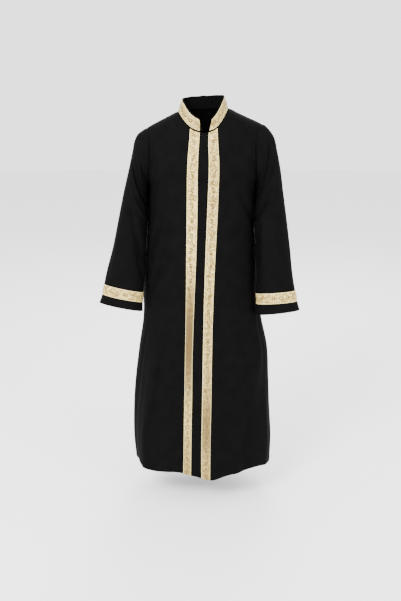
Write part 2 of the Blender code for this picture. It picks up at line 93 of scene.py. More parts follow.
HALVINGS = 30  # steps that find where a surface meets an edge
BAND_TURN = 60.0  # degrees either way of the centre front within which a band's edge is looked for

# Cells of the grids, about 3 mm across and 4 to 6 mm along
BAND_CELLS = 12
NECK_CELLS = 14
SIDE_CELLS = 66
UPPER_CELLS = 64
LOWER_CELLS = 200
SLEEVE_CELLS_ROUND = 132
SLEEVE_CELLS_ALONG = 150
CUFF_CELLS = 12  # along the cuff band, and again below it
COLLAR_CELLS = 22
PLACKET_CELLS = (3, 8, 3)  # under one ribbon, between them and under the other
TAB_CELLS = 8

# Seams sink, and the turned-up hem stands proud with a row of stitches in a dip along its top
SEAM_SINK = 0.00045
SEAM_SOFTNESS = 0.003
HEM_DEPTH = 0.022
HEM_STEP = 0.00035
HEM_STEP_SOFTNESS = 0.004
HEM_STITCH_SINK = 0.0004
HEM_STITCH_SOFTNESS = 0.0025

# How near to an edge the fine creases die away
NECK_CALM = 0.35  # as a share of the neck opening's own size
SHOULDER_CALM = 0.08  # in levels
ARMHOLE_CALM = 0.02  # as a share of the sleeve's length
CUFF_CALM = 0.04

# Degrees from the side line within which a panel's edge is a side seam, and a point lies on it
SIDE_SEAM_TURN = 45.0
SEAM_SNAP = 0.5

BodyRing = namedtuple("BodyRing", "z right left front back power")
BODY_RINGS = [
    BodyRing(-0.240, 0.184, 0.180, 0.122, 0.118, 2.35),
    BodyRing(-0.300, 0.188, 0.177, 0.124, 0.115, 2.35),
    BodyRing(-0.400, 0.195, 0.180, 0.128, 0.110, 2.30),
    BodyRing(-0.500, 0.204, 0.187, 0.132, 0.109, 2.28),
    BodyRing(-0.600, 0.211, 0.193, 0.136, 0.113, 2.25),
    BodyRing(-0.720, 0.216, 0.211, 0.140, 0.120, 2.25),
    BodyRing(-0.830, 0.233, 0.235, 0.144, 0.126, 2.25),
    BodyRing(-0.950, 0.249, 0.243, 0.149, 0.131, 2.25),
    BodyRing(-1.050, 0.258, 0.249, 0.153, 0.135, 2.25),
    BodyRing(-1.180, 0.262, 0.257, 0.157, 0.139, 2.30),
    BodyRing(-1.310, 0.252, 0.255, 0.160, 0.142, 2.35),
]

# The armhole's distance from the middle, from the underarm (level 0) to the shoulder (level 1)
Armhole = namedtuple("Armhole", "level right left")
ARMHOLES = [
    Armhole(0.00, 0.184, 0.180),
    Armhole(0.25, 0.179, 0.175),
    Armhole(0.60, 0.180, 0.181),
    Armhole(1.00, 0.190, 0.198),
]

# Height of the shoulder seam against distance from the middle. Inside the neck it is only a guide.
Ridge = namedtuple("Ridge", "x right_front right_back left_front left_back")
RIDGES = [
    Ridge(0.000, -0.006, 0.030, -0.006, 0.030),
    Ridge(0.050, -0.004, 0.018, -0.005, 0.023),
    Ridge(0.084, -0.003, -0.003, 0.007, 0.007),
    Ridge(0.116, -0.018, -0.018, -0.007, -0.007),
    Ridge(0.154, -0.037, -0.037, -0.024, -0.024),
    Ridge(0.175, -0.048, -0.048, -0.033, -0.033),
    Ridge(0.198, -0.062, -0.062, -0.044, -0.044),
]

Hem = namedtuple("Hem", "angle z")
HEMS = [
    Hem(-180, -1.284),
    Hem(-105, -1.282),
    Hem(-90, -1.278),
    Hem(-75, -1.270),
    Hem(-60, -1.274),
    Hem(-45, -1.279),
    Hem(-14, -1.271),
    Hem(-2, -1.288),
    Hem(5, -1.299),
    Hem(12, -1.290),
    Hem(28, -1.280),
    Hem(42, -1.268),
    Hem(60, -1.272),
    Hem(78, -1.283),
    Hem(90, -1.286),
    Hem(180, -1.284),
]

# Edges of the two front bands against height. They drift to the wearer's right on the way down.
BandEdge = namedtuple("BandEdge", "z right_outer right_inner left_inner left_outer")
BAND_EDGES = [
    BandEdge(-0.055, -0.0425, -0.0108, 0.0210, 0.0462),
    BandEdge(-0.075, -0.0440, -0.0120, 0.0175, 0.0468),
    BandEdge(-0.095, -0.0455, -0.0135, 0.0165, 0.0475),
    BandEdge(-0.153, -0.0505, -0.0171, 0.0186, 0.0510),
    BandEdge(-0.280, -0.0535, -0.0187, 0.0150, 0.0488),
    BandEdge(-0.446, -0.0560, -0.0227, 0.0087, 0.0417),
    BandEdge(-0.625, -0.0583, -0.0300, 0.0032, 0.0345),
    BandEdge(-0.805, -0.0621, -0.0364, -0.0003, 0.0306),
    BandEdge(-0.985, -0.0660, -0.0391, -0.0030, 0.0289),
    BandEdge(-1.172, -0.0695, -0.0425, -0.0060, 0.0262),
    BandEdge(-1.300, -0.0724, -0.0443, -0.0060, 0.0256),
]

# Each ring is an oval from an inner to an outer point, as deep as half_depth either way of y_mid.
# Its front is lifted by rise, because the forearm comes forward. The last three rings are the cuff
# band's two edges and the sleeve's own edge.
SleeveRing = namedtuple("SleeveRing", "x_in z_in x_out z_out y_mid half_depth rise")
RIGHT_SLEEVE = [
    SleeveRing(0.186, -0.252, 0.206, -0.066, -0.003, 0.067, 0.000),
    SleeveRing(0.187, -0.262, 0.219, -0.076, -0.006, 0.068, 0.000),
    SleeveRing(0.188, -0.272, 0.230, -0.096, -0.010, 0.069, 0.000),
    SleeveRing(0.189, -0.288, 0.237, -0.128, -0.014, 0.069, 0.001),
    SleeveRing(0.190, -0.310, 0.252, -0.193, -0.022, 0.069, 0.002),
    SleeveRing(0.192, -0.345, 0.268, -0.259, -0.030, 0.067, 0.003),
    SleeveRing(0.194, -0.400, 0.289, -0.356, -0.042, 0.064, 0.005),
    SleeveRing(0.198, -0.480, 0.310, -0.453, -0.055, 0.061, 0.007),
    SleeveRing(0.202, -0.560, 0.333, -0.535, -0.067, 0.057, 0.009),
    SleeveRing(0.209, -0.608, 0.343, -0.578, -0.074, 0.055, 0.010),
    SleeveRing(0.210, -0.642, 0.350, -0.612, -0.078, 0.054, 0.010),
    SleeveRing(0.211, -0.675, 0.361, -0.643, -0.080, 0.053, 0.010),
]
LEFT_SLEEVE = [
    SleeveRing(0.183, -0.252, 0.211, -0.051, -0.003, 0.067, 0.000),
    SleeveRing(0.182, -0.262, 0.225, -0.066, -0.006, 0.068, 0.000),
    SleeveRing(0.181, -0.274, 0.238, -0.086, -0.010, 0.069, 0.000),
    SleeveRing(0.179, -0.290, 0.249, -0.128, -0.014, 0.069, 0.001),
    SleeveRing(0.178, -0.312, 0.262, -0.193, -0.022, 0.069, 0.002),
    SleeveRing(0.178, -0.347, 0.271, -0.259, -0.030, 0.067, 0.003),
    SleeveRing(0.179, -0.405, 0.285, -0.356, -0.044, 0.064, 0.005),
    SleeveRing(0.182, -0.480, 0.298, -0.453, -0.060, 0.060, 0.007),
    SleeveRing(0.184, -0.560, 0.309, -0.545, -0.075, 0.056, 0.009),
    SleeveRing(0.184, -0.610, 0.319, -0.599, -0.083, 0.054, 0.010),
    SleeveRing(0.185, -0.646, 0.327, -0.635, -0.088, 0.053, 0.010),
    SleeveRing(0.184, -0.685, 0.336, -0.667, -0.091, 0.052, 0.010),
]

# A fold is a rounded ridge, or a trough where its height is negative, on a straight line.
# On the body it runs from angle_top, z_top to angle_low, z_low.
BodyFold = namedtuple("BodyFold", "angle_top z_top angle_low z_low width height")
BODY_FOLDS = [
    BodyFold(30, -0.24, 86, -0.42, 0.020, -0.004),
    BodyFold(-32, -0.26, -66, -0.50, 0.022, -0.004),
    BodyFold(-40, -0.44, -60, -0.62, 0.020, -0.004),
    BodyFold(-26, -0.56, -27, -1.45, 0.020, 0.004),
    BodyFold(-42, -0.72, -57, -1.45, 0.024, 0.009),
    BodyFold(-70, -0.80, -78, -1.45, 0.024, -0.006),
    BodyFold(8, -0.66, 23, -1.45, 0.022, -0.007),
    BodyFold(60, -0.74, 38, -1.12, 0.022, 0.007),
    BodyFold(46, -0.92, 27, -1.45, 0.022, -0.008),
    BodyFold(66, -0.95, 58, -1.45, 0.024, 0.006),
    BodyFold(158, -0.30, 150, -1.45, 0.024, -0.007),
    BodyFold(196, -0.34, 204, -1.45, 0.026, -0.008),
    BodyFold(176, -0.52, 178, -1.45, 0.024, 0.007),
    BodyFold(134, -0.66, 127, -1.45, 0.024, 0.008),
    BodyFold(228, -0.60, 236, -1.45, 0.024, 0.008),
    BodyFold(112, -0.82, 107, -1.45, 0.022, -0.006),
    BodyFold(251, -0.78, 257, -1.45, 0.022, -0.006),
    BodyFold(152, -0.09, 116, -0.24, 0.018, -0.004),
    BodyFold(211, -0.11, 243, -0.25, 0.018, -0.004),
    BodyFold(100, -0.20, 100, -0.62, 0.024, 0.008),
    BodyFold(260, -0.20, 260, -0.74, 0.024, 0.009),
]

# On a sleeve it runs from turn_top, reach_top to turn_low, reach_low. Turn 0 is the inner side,
# 0.25 the front and 0.5 the outer side; reach 0 is the armhole and 1 the cuff's edge.
SleeveFold = namedtuple("SleeveFold", "turn_top reach_top turn_low reach_low width height")
RIGHT_SLEEVE_FOLDS = [
    SleeveFold(0.42, 0.15, -0.04, 0.27, 0.020, -0.008),
    SleeveFold(0.36, 0.24, 0.02, 0.38, 0.020, 0.005),
    SleeveFold(0.34, 0.30, 0.02, 0.72, 0.021, -0.007),
    SleeveFold(0.19, 0.56, 0.00, 0.84, 0.020, -0.006),
    SleeveFold(0.38, 0.42, 0.33, 0.94, 0.022, 0.004),
    SleeveFold(0.60, 0.18, 0.98, 0.30, 0.021, -0.007),
    SleeveFold(0.62, 0.36, 0.96, 0.60, 0.021, -0.006),
    SleeveFold(0.72, 0.52, 0.92, 0.88, 0.021, 0.005),
]
LEFT_SLEEVE_FOLDS = [
    SleeveFold(0.41, 0.05, -0.03, 0.18, 0.020, -0.009),
    SleeveFold(0.37, 0.13, 0.08, 0.36, 0.020, -0.007),
    SleeveFold(0.30, 0.24, 0.05, 0.44, 0.020, 0.004),
    SleeveFold(0.17, 0.32, 0.14, 0.90, 0.021, 0.006),
    SleeveFold(0.06, 0.44, 0.04, 0.84, 0.018, -0.005),
    SleeveFold(0.60, 0.16, 0.98, 0.28, 0.021, -0.007),
    SleeveFold(0.64, 0.34, 0.95, 0.56, 0.021, -0.006),
    SleeveFold(0.74, 0.50, 0.90, 0.88, 0.021, 0.005),
]

# Fine creases. Each runs in a curve through three places. On the body a place is an angle
# in degrees and a height. lean puts a shallow bell of the other sign on one side, as in a pinch.
Crease = namedtuple("Crease", "a1 b1 a2 b2 a3 b3 width_from width_to height lean")
FRONT_CREASES = [
    Crease(32, -0.235, 60, -0.318, 87, -0.405, 0.007, 0.012, -0.0034, 1),
    Crease(52, -0.215, 68, -0.262, 84, -0.315, 0.006, 0.008, -0.0022, 1),
    Crease(-30, -0.250, -50, -0.362, -66, -0.480, 0.008, 0.012, -0.0030, -1),
    Crease(-52, -0.225, -66, -0.280, -82, -0.345, 0.006, 0.009, -0.0020, -1),
    Crease(-41, -0.450, -50, -0.530, -59, -0.610, 0.007, 0.010, -0.0024, -1),
    Crease(-78, -0.070, -79, -0.140, -81, -0.222, 0.005, 0.006, -0.0024, 1),
    Crease(-66, -0.095, -69, -0.150, -75, -0.215, 0.006, 0.007, -0.0016, 1),
    Crease(77, -0.060, 77, -0.135, 80, -0.225, 0.005, 0.006, -0.0028, -1),
    Crease(65, -0.100, 68, -0.155, 74, -0.220, 0.006, 0.007, -0.0018, -1),
    Crease(-43, -0.790, -42, -0.960, -54, -1.190, 0.007, 0.014, 0.0040, 1),
    Crease(-60, -0.700, -66, -0.880, -71, -1.100, 0.009, 0.014, -0.0030, -1),
    Crease(57, -0.780, 46, -0.930, 41, -1.060, 0.007, 0.010, 0.0042, -1),
    Crease(44, -1.000, 39, -1.110, 33, -1.240, 0.008, 0.015, -0.0036, 1),
    Crease(9, -0.720, 17.5, -0.950, 21, -1.200, 0.009, 0.017, -0.0034, 1),
    Crease(-25, -0.580, -25.7, -0.900, -26, -1.240, 0.008, 0.012, 0.0014, 0),
    Crease(36, -0.600, 32, -0.930, 28, -1.250, 0.008, 0.013, 0.0014, 0),
    Crease(72, -0.560, 66, -0.740, 63, -0.960, 0.009, 0.013, -0.0024, -1),
    Crease(-76, -0.480, -79, -0.560, -83, -0.640, 0.007, 0.009, -0.0020, -1),
    Crease(76, -0.420, 80, -0.500, 84, -0.590, 0.007, 0.009, -0.0022, 1),
    Crease(30, -0.115, 45, -0.140, 60, -0.185, 0.010, 0.012, 0.0009, 0),
    Crease(-30, -0.120, -44, -0.150, -58, -0.195, 0.010, 0.012, 0.0009, 0),
]
BACK_CREASES = [
    Crease(100, -0.170, 100, -0.300, 100, -0.430, 0.014, 0.016, 0.0042, 0),
    Crease(260, -0.170, 260, -0.300, 260, -0.430, 0.014, 0.016, 0.0042, 0),
    Crease(97, -0.250, 117, -0.325, 141, -0.395, 0.007, 0.011, -0.0034, 1),
    Crease(98, -0.310, 112, -0.385, 129, -0.470, 0.006, 0.009, -0.0026, 1),
    Crease(263, -0.250, 243, -0.345, 221, -0.440, 0.007, 0.011, -0.0034, -1),
    Crease(262, -0.330, 250, -0.400, 236, -0.480, 0.006, 0.009, -0.0024, -1),
    Crease(100, -0.080, 102, -0.150, 99, -0.225, 0.005, 0.006, -0.0024, 1),
    Crease(260, -0.085, 257, -0.150, 260, -0.225, 0.005, 0.006, -0.0024, -1),
    Crease(163, -0.430, 157, -0.830, 152, -1.240, 0.008, 0.016, -0.0034, 1),
    Crease(198, -0.460, 203, -0.820, 206, -1.230, 0.008, 0.016, -0.0036, -1),
    Crease(182, -0.640, 178, -0.930, 181, -1.250, 0.008, 0.013, 0.0026, 0),
    Crease(137, -0.740, 131, -0.990, 127, -1.240, 0.008, 0.014, 0.0036, 1),
    Crease(225, -0.700, 232, -0.960, 236, -1.240, 0.008, 0.014, 0.0036, -1),
    Crease(113, -0.860, 109, -1.060, 107, -1.250, 0.008, 0.012, -0.0030, 1),
    Crease(249, -0.830, 254, -1.040, 257, -1.250, 0.008, 0.012, -0.0028, -1),
    Crease(148, -0.350, 163, -0.395, 180, -0.380, 0.008, 0.009, -0.0018, 1),
    Crease(184, -0.415, 199, -0.425, 214, -0.390, 0.008, 0.009, -0.0016, 1),
    Crease(101, -0.520, 97, -0.600, 95, -0.690, 0.007, 0.009, -0.0022, 1),
]

# On a sleeve a place is a turn, as in the folds above, and a reach.
RIGHT_SLEEVE_CREASES = [
    Crease(0.39, 0.160, 0.22, 0.205, 0.01, 0.255, 0.006, 0.009, -0.0046, 1),
    Crease(0.32, 0.075, 0.20, 0.055, 0.09, 0.020, 0.005, 0.006, -0.0030, 1),
    Crease(0.42, 0.095, 0.30, 0.125, 0.13, 0.165, 0.005, 0.008, -0.0030, 1),
    Crease(0.34, 0.275, 0.24, 0.430, 0.06, 0.655, 0.006, 0.012, -0.0036, 1),
    Crease(0.15, 0.640, 0.08, 0.740, 0.00, 0.845, 0.006, 0.010, -0.0032, 1),
    Crease(0.38, 0.500, 0.365, 0.660, 0.357, 0.820, 0.008, 0.012, 0.0016, 0),
    Crease(0.13, 0.400, 0.05, 0.450, -0.05, 0.480, 0.006, 0.008, -0.0030, 1),
    Crease(0.16, 0.500, 0.08, 0.560, -0.04, 0.600, 0.006, 0.008, -0.0024, 1),
    Crease(0.58, 0.150, 0.78, 0.225, 0.97, 0.290, 0.006, 0.009, -0.0040, -1),
    Crease(0.60, 0.070, 0.74, 0.110, 0.92, 0.150, 0.005, 0.007, -0.0028, -1),
    Crease(0.62, 0.340, 0.80, 0.470, 0.95, 0.600, 0.006, 0.010, -0.0032, -1),
    Crease(0.66, 0.540, 0.82, 0.680, 0.94, 0.840, 0.007, 0.011, -0.0026, -1),
    Crease(0.84, 0.360, 0.93, 0.410, 1.02, 0.430, 0.006, 0.008, -0.0024, -1),
]
LEFT_SLEEVE_CREASES = [
    Crease(0.31, 0.020, 0.16, 0.080, 0.01, 0.145, 0.006, 0.008, -0.0050, 1),
    Crease(0.37, 0.070, 0.21, 0.130, 0.02, 0.190, 0.005, 0.008, -0.0042, 1),
    Crease(0.33, 0.118, 0.24, 0.185, 0.14, 0.265, 0.006, 0.009, -0.0034, 1),
    Crease(0.42, 0.060, 0.36, 0.130, 0.30, 0.210, 0.006, 0.009, -0.0020, 1),
    Crease(0.16, 0.340, 0.15, 0.560, 0.143, 0.780, 0.007, 0.012, 0.0028, -1),
    Crease(0.34, 0.430, 0.336, 0.610, 0.330, 0.790, 0.008, 0.012, 0.0016, 0),
    Crease(0.14, 0.290, 0.06, 0.350, -0.04, 0.390, 0.006, 0.009, -0.0034, 1),
    Crease(0.10, 0.440, 0.04, 0.500, -0.05, 0.540, 0.006, 0.008, -0.0026, 1),
    Crease(0.58, 0.130, 0.78, 0.205, 0.97, 0.270, 0.006, 0.009, -0.0040, -1),
    Crease(0.62, 0.060, 0.76, 0.095, 0.92, 0.130, 0.005, 0.007, -0.0028, -1),
    Crease(0.64, 0.330, 0.80, 0.440, 0.95, 0.560, 0.006, 0.010, -0.0030, -1),
    Crease(0.70, 0.520, 0.82, 0.660, 0.92, 0.860, 0.007, 0.011, -0.0026, -1),
    Crease(0.84, 0.350, 0.93, 0.400, 1.02, 0.415, 0.006, 0.008, -0.0022, -1),
]
CREASE_STEPS = 40  # points on a crease's line
CREASE_REACH = 5  # widths from its line within which a crease is felt
CREASE_FADE = 0.8  # below 1 a crease comes up sooner at its ends than a sine
PINCH_PLACE = 1.7  # the bell beside a pinch, in widths of the crease
PINCH_WIDTH = 1.3
PINCH_DEPTH = 0.45  # as a share of the crease's height

# Waves of the flat cloth, in radians a metre across and along it
RIPPLE = 0.0009  # the most by which hanging cloth wavers between its creases
Wave = namedtuple("Wave", "across along shift size")
WAVES = [
    Wave(19, 7, 0.0, 1.0),
    Wave(-13, 17, 1.3, 1.0),
    Wave(31, -5, 4.1, 1.0),
    Wave(9, 29, 2.2, 0.7),
]

# Where the ribbons catch less light, 0 cream to 1 tan. On the two front ribbons it goes by height.
COLLAR_TONE = 0.35
CUFF_TONE = 0.12
Tone = namedtuple("Tone", "z right left")
TONES = [
    Tone(-0.05, 0.12, 0.20),
    Tone(-0.30, 0.00, 0.22),
    Tone(-0.50, 0.05, 0.15),
    Tone(-0.62, 0.75, 0.25),
    Tone(-0.80, 1.00, 0.30),
    Tone(-0.93, 0.70, 0.45),
    Tone(-1.02, 0.25, 0.75),
    Tone(-1.12, 0.35, 0.85),
    Tone(-1.22, 0.55, 0.55),
    Tone(-1.30, 0.60, 0.60),
]


def glide(at, places, values):
    """A smooth curve through the values: cubic pieces that share the slope of each point's neighbours."""
    order = np.argsort(places)
    place = np.asarray(places, float)[order]
    value = np.asarray(values, float)[order]
    slope = np.gradient(value, place, axis=0)
    at = np.clip(at, place[0], place[-1])
    i = np.clip(np.searchsorted(place, at) - 1, 0, len(place) - 2)
    spare = (1,) * (value.ndim - 1)
    width = (place[i + 1] - place[i]).reshape(np.shape(at) + spare)
    t = np.reshape(at - place[i], np.shape(at) + spare) / width
    start = (2 * t**3 - 3 * t**2 + 1) * value[i] + (t**3 - 2 * t**2 + t) * width * slope[i]
    end = (3 * t**2 - 2 * t**3) * value[i + 1] + (t**3 - t**2) * width * slope[i + 1]
    return start + end


def curve(at, table, key, name):
    """A table's named column as a smooth curve over its key column, read at the given places."""
    places = np.array([getattr(row, key) for row in table], float)
    values = np.array([getattr(row, name) for row in table], float)
    return glide(at, places, values)


def curve_by(pick, at, table, key, names):
    """The first named column's curve where pick is true, and the second's elsewhere."""
    return np.where(pick, curve(at, table, key, names[0]), curve(at, table, key, names[1]))


def ease(t):
    """0 below 0, 1 above 1, and a smooth step between them."""
    t = np.clip(t, 0.0, 1.0)
    return t * t * (3 - 2 * t)


def fold_height(across_from, across_to, along, width, height, offset_at):
    """One fold: a bell across its line, fading in over the first quarter and out over the last."""
    t = np.clip(along, 0.0, 1.0)
    line = across_from + (across_to - across_from) * t
    bell = np.exp(-((offset_at(line) / width) ** 2))
    return height * bell * ease(along * 4) * ease((1 - along) * 4)


def body_folds(angle, z):
    """How far the folds lift the body's cloth, from the angle in degrees and the height."""
    total = np.zeros(np.shape(z))
    for fold in BODY_FOLDS:

        def offset_at(line):
            return np.radians((angle - line + 180) % 360 - 180) * BODY_RADIUS

        along = (z - fold.z_top) / (fold.z_low - fold.z_top)
        total += fold_height(fold.angle_top, fold.angle_low, along, fold.width, fold.height, offset_at)
    return total


def body(angle, level):
    """A point of the surface that the fronts and the back share.

    angle goes round the body in degrees: 0 is the centre front, 90 the wearer's left side.
    level is -1 at the hem, 0 at the underarm and 1 on the shoulder seam. Below the underarm each
    level is an oval ring. Above it the surface rounds over to the shoulder seam, and the chest is
    wider than the armhole, which cuts it off.
    """
    angle, level = np.broadcast_arrays(np.asarray(angle, float), np.asarray(level, float))
    angle = (angle + 180) % 360 - 180
    on_right = angle < 0
    in_front = np.abs(angle) <= 90
    side = np.where(on_right, -1.0, 1.0)
    facing = np.where(in_front, -1.0, 1.0)
    turn = np.radians(np.where(in_front, np.abs(angle), 180 - np.abs(angle)))

    hem_z = curve(angle, HEMS, "angle", "z")
    low_z = UNDERARM_Z + (UNDERARM_Z - hem_z) * np.minimum(level, 0)
    half_width = curve_by(on_right, low_z, BODY_RINGS, "z", ("right", "left"))
    half_depth = curve_by(in_front, low_z, BODY_RINGS, "z", ("front", "back"))
    power = curve(low_z, BODY_RINGS, "z", "power")
    low_x = half_width * np.sin(turn) ** (2 / power)
    low_y = half_depth * np.cos(turn) ** (2 / power)

    lift = np.radians(90 * np.clip(level, 0, 1))
    armhole_x = curve_by(on_right, level, ARMHOLES, "level", ("right", "left"))
    chest = armhole_x * (1 + ARMHOLE_SPREAD * np.sin(lift) ** ARMHOLE_RISE)
    high_x = armhole_x * np.sin(turn) ** (2 / ROUND_ACROSS)
    over = np.where(in_front, ROUND_FRONT, ROUND_BACK)
    share = np.clip(1 - (high_x / chest) ** ROUND_ACROSS, 0, 1)
    high_y = half_depth * share ** (1 / ROUND_ACROSS) * np.cos(lift) ** (2 / over)
    ridge_front = curve_by(on_right, high_x, RIDGES, "x", ("right_front", "left_front"))
    ridge_back = curve_by(on_right, high_x, RIDGES, "x", ("right_back", "left_back"))
    ridge_z = np.where(in_front, ridge_front, ridge_back)
    high_z = UNDERARM_Z + (ridge_z - UNDERARM_Z) * np.sin(lift) ** (2 / over)

    is_low = level < 0
    z = np.where(is_low, low_z, high_z)
    fold = body_folds(angle, z)
    x = side * (np.where(is_low, low_x, high_x) + fold * np.sin(turn))
    y = facing * (np.where(is_low, low_y, high_y) + fold * np.cos(turn))
    return np.stack([x, y, z], axis=-1)


def halve(is_past, low, high):
    """The value between low and high where is_past turns true, by halving the range."""
    for _ in range(HALVINGS):
        middle = (low + high) / 2
        past = is_past(middle)
        low, high = np.where(past, low, middle), np.where(past, middle, high)
    return (low + high) / 2


def band_angle(edge, level):
    """The angle at which a front band's edge meets a level."""

    def is_past(angle):
        point = body(angle, level)
        return point[..., 0] > curve(point[..., 2], BAND_EDGES, "z", edge)

    level = np.asarray(level, float)
    return halve(is_past, np.full(level.shape, -BAND_TURN), np.full(level.shape, BAND_TURN))


def neck_turn(side, level):
    """The angle from the centre that keeps a column straight below the neck point on the upper body."""
    name = "right" if side < 0 else "left"
    armhole_x = curve(np.clip(level, 0, 1), ARMHOLES, "level", name)
    return np.degrees(np.arcsin((NECK_HALF_WIDTH / armhole_x) ** (ROUND_ACROSS / 2)))


def front_angles(side, share, level):
    """Angle of a front's columns. share 0..1 is the band, 1..2 reaches the neck point, 2..3 the side."""
    name = "right" if side < 0 else "left"
    inner = band_angle(f"{name}_inner", level)
    outer = band_angle(f"{name}_outer", level)
    neck = side * neck_turn(side, level)
    knots = [inner, outer, neck, side * SIDE_TURN]
    angle = inner
    for i in range(3):
        t = np.clip(share - i, 0, 1)
        angle = angle + (knots[i + 1] - knots[i]) * t
    return angle


def back_angles(share, level):
    """Angle of the back's columns. share 0..1 is the left side, 1..3 the neck and 3..4 the right side."""
    neck_left = neck_turn(1, level)
    neck_right = neck_turn(-1, level)
    steps = [SIDE_TURN - neck_left, neck_left, neck_right, SIDE_TURN - neck_right]
    angle = 180 - SIDE_TURN
    for i, step in enumerate(steps):
        angle = angle + step * np.clip(share - i, 0, 1)
    return angle


def shares(*cells):
    """Column positions with the given number of cells in each unit step."""
    return np.concatenate([[0.0]] + [i + np.arange(1, n + 1) / n for i, n in enumerate(cells)])


def neck_size(points):
    """The size of the oval through each point, seen from above: 1 is the neck opening itself."""
    depth = np.where(points[..., 1] < 0, NECK_FRONT_DEPTH, NECK_BACK_DEPTH)
    across = np.abs(points[..., 0] / NECK_HALF_WIDTH) ** NECK_POWER
    return (across + np.abs(points[..., 1] / depth) ** NECK_POWER) ** (1 / NECK_POWER)


def panel(angles, share):
    """Points of a panel, rows from the neckline and shoulder seam down to the hem.

    A column's top is where it meets the neck opening, which is an oval seen from above, and the
    columns beyond that oval go up to the shoulder seam.
    """

    def is_past(level):
        return neck_size(body(angles(share, level), level)) < 1

    top = halve(is_past, np.zeros(share.shape), np.ones(share.shape))
    top = np.minimum(top, SHOULDER_LEVEL)
    upper = top * np.linspace(1, 0, UPPER_CELLS + 1)[:, None]
    lower = -np.linspace(0, 1, LOWER_CELLS + 1)[1:, None] + 0 * top
    level = np.concatenate([upper, lower])
    angle = angles(share + 0 * level, level)
    return body(angle, level), angle, level


def sleeve_rings(side, table):
    """The sleeve's rings as points: the armhole first, then an oval for each row of the table."""
    turn = np.arange(SLEEVE_CELLS_ROUND) / SLEEVE_CELLS_ROUND
    outward = -np.cos(2 * np.pi * turn)
    forward = np.sin(2 * np.pi * turn)
    over = np.where(forward >= 0, ROUND_FRONT, ROUND_BACK)
    level = np.arcsin(((1 + outward) / 2) ** (over / 2)) / (np.pi / 2)
    angle = side * np.where(forward >= 0, SIDE_TURN, 180 - SIDE_TURN)
    armhole = body(angle, level) + np.array([side * SLEEVE_GAP, 0, 0])
    rings = [armhole]
    for ring in table:
        x = (ring.x_out + ring.x_in) / 2 + (ring.x_out - ring.x_in) / 2 * outward
        z = (ring.z_out + ring.z_in) / 2 + (ring.z_out - ring.z_in) / 2 * outward + ring.rise * forward
        y = ring.y_mid - ring.half_depth * forward
        rings.append(np.stack([side * x, y, z], axis=-1))
    return np.array(rings)


def sleeve(side, table, folds):
    """Points of a sleeve with its folds, and their turn and reach.

    The rows go from the armhole to the cuff's edge. They run smoothly through the rings, and a fold
    lifts a point away from the middle of its row.
    """
    rings = sleeve_rings(side, table)
    steps = np.linalg.norm(np.diff(rings, axis=0), axis=2).mean(axis=1)
    place = np.concatenate([[0], np.cumsum(steps)])
    above_band = np.linspace(0, place[-3], SLEEVE_CELLS_ALONG + 1)
    on_band = np.linspace(place[-3], place[-2], CUFF_CELLS + 1)
    below_band = np.linspace(place[-2], place[-1], CUFF_CELLS + 1)
    at = np.concatenate([above_band, on_band[1:], below_band[1:]])
    points = glide(at, place, rings)
    middle = points.mean(axis=1, keepdims=True)
    turn = np.arange(SLEEVE_CELLS_ROUND)[None, :] / SLEEVE_CELLS_ROUND
    reach = (at / place[-1])[:, None]
    lift = np.zeros(points.shape[:2])
    for fold in folds:

        def offset_at(line):
            return ((turn - line + 0.5) % 1 - 0.5) * SLEEVE_GIRTH

        along = (reach - fold.reach_top) / (fold.reach_low - fold.reach_top) + 0 * turn
        lift += fold_height(fold.turn_top, fold.turn_low, along, fold.width, fold.height, offset_at)
    outward = points - middle
    outward /= np.linalg.norm(outward, axis=2, keepdims=True)
    return points + outward * lift[..., None], turn + 0 * reach, reach + 0 * turn


def body_axis(points):
    """Points on the middle line of the body, at the heights of the given points."""
    return points * np.array([0, 0, 1])


def normals(points, inside, closed=False):
    """Unit normals of a grid of points, on the side away from the given inside."""
    if closed:
        across = np.roll(points, -1, axis=1) - np.roll(points, 1, axis=1)
    else:
        across = np.gradient(points, axis=1)
    along = np.gradient(points, axis=0)
    normal = np.cross(across, along)
    normal /= np.linalg.norm(normal, axis=2, keepdims=True)
    return normal if np.sum(normal * (points - inside)) > 0 else -normal


def crease_lift(place, creases, scale):
    """How far the fine creases lift the cloth at flat places of shape (..., 2).

    A crease's line is the parabola through its three places. A place's offset is its distance from
    the nearest of CREASE_STEPS points on it, signed by side. The lift is a bell of that offset whose
    width grows along the line and which fades in and out as a sine, less a wider bell beside it
    where the crease leans.
    """
    flat = place.reshape(-1, 2) * scale
    total = np.zeros(len(flat))
    t = np.linspace(0, 1, CREASE_STEPS)[:, None]
    for crease in creases:
        start = np.array([crease.a1, crease.b1]) * scale
        middle = np.array([crease.a2, crease.b2]) * scale
        end = np.array([crease.a3, crease.b3]) * scale
        line = start * (1 - t) * (1 - 2 * t) + middle * 4 * t * (1 - t) + end * t * (2 * t - 1)
        reach = CREASE_REACH * crease.width_to
        near = np.all((flat > line.min(axis=0) - reach) & (flat < line.max(axis=0) + reach), axis=1)
        gap = flat[near, None] - line
        nearest = np.argmin(np.sum(gap**2, axis=2), axis=1)
        along = np.gradient(line, axis=0)
        along /= np.linalg.norm(along, axis=1, keepdims=True)
        step = gap[np.arange(len(nearest)), nearest]
        side = along[nearest, 0] * step[:, 1] - along[nearest, 1] * step[:, 0]
        offset = np.sign(side) * np.linalg.norm(step, axis=1)
        at = t[nearest, 0]
        width = crease.width_from + (crease.width_to - crease.width_from) * at
        beside = (offset / width - PINCH_PLACE * np.sign(crease.lean)) / PINCH_WIDTH
        pinch = PINCH_DEPTH * abs(crease.lean) * np.exp(-(beside**2))
        bells = np.exp(-((offset / width) ** 2)) - pinch
        total[near] += crease.height * bells * np.sin(np.pi * at) ** CREASE_FADE
    return total.reshape(place.shape[:-1])


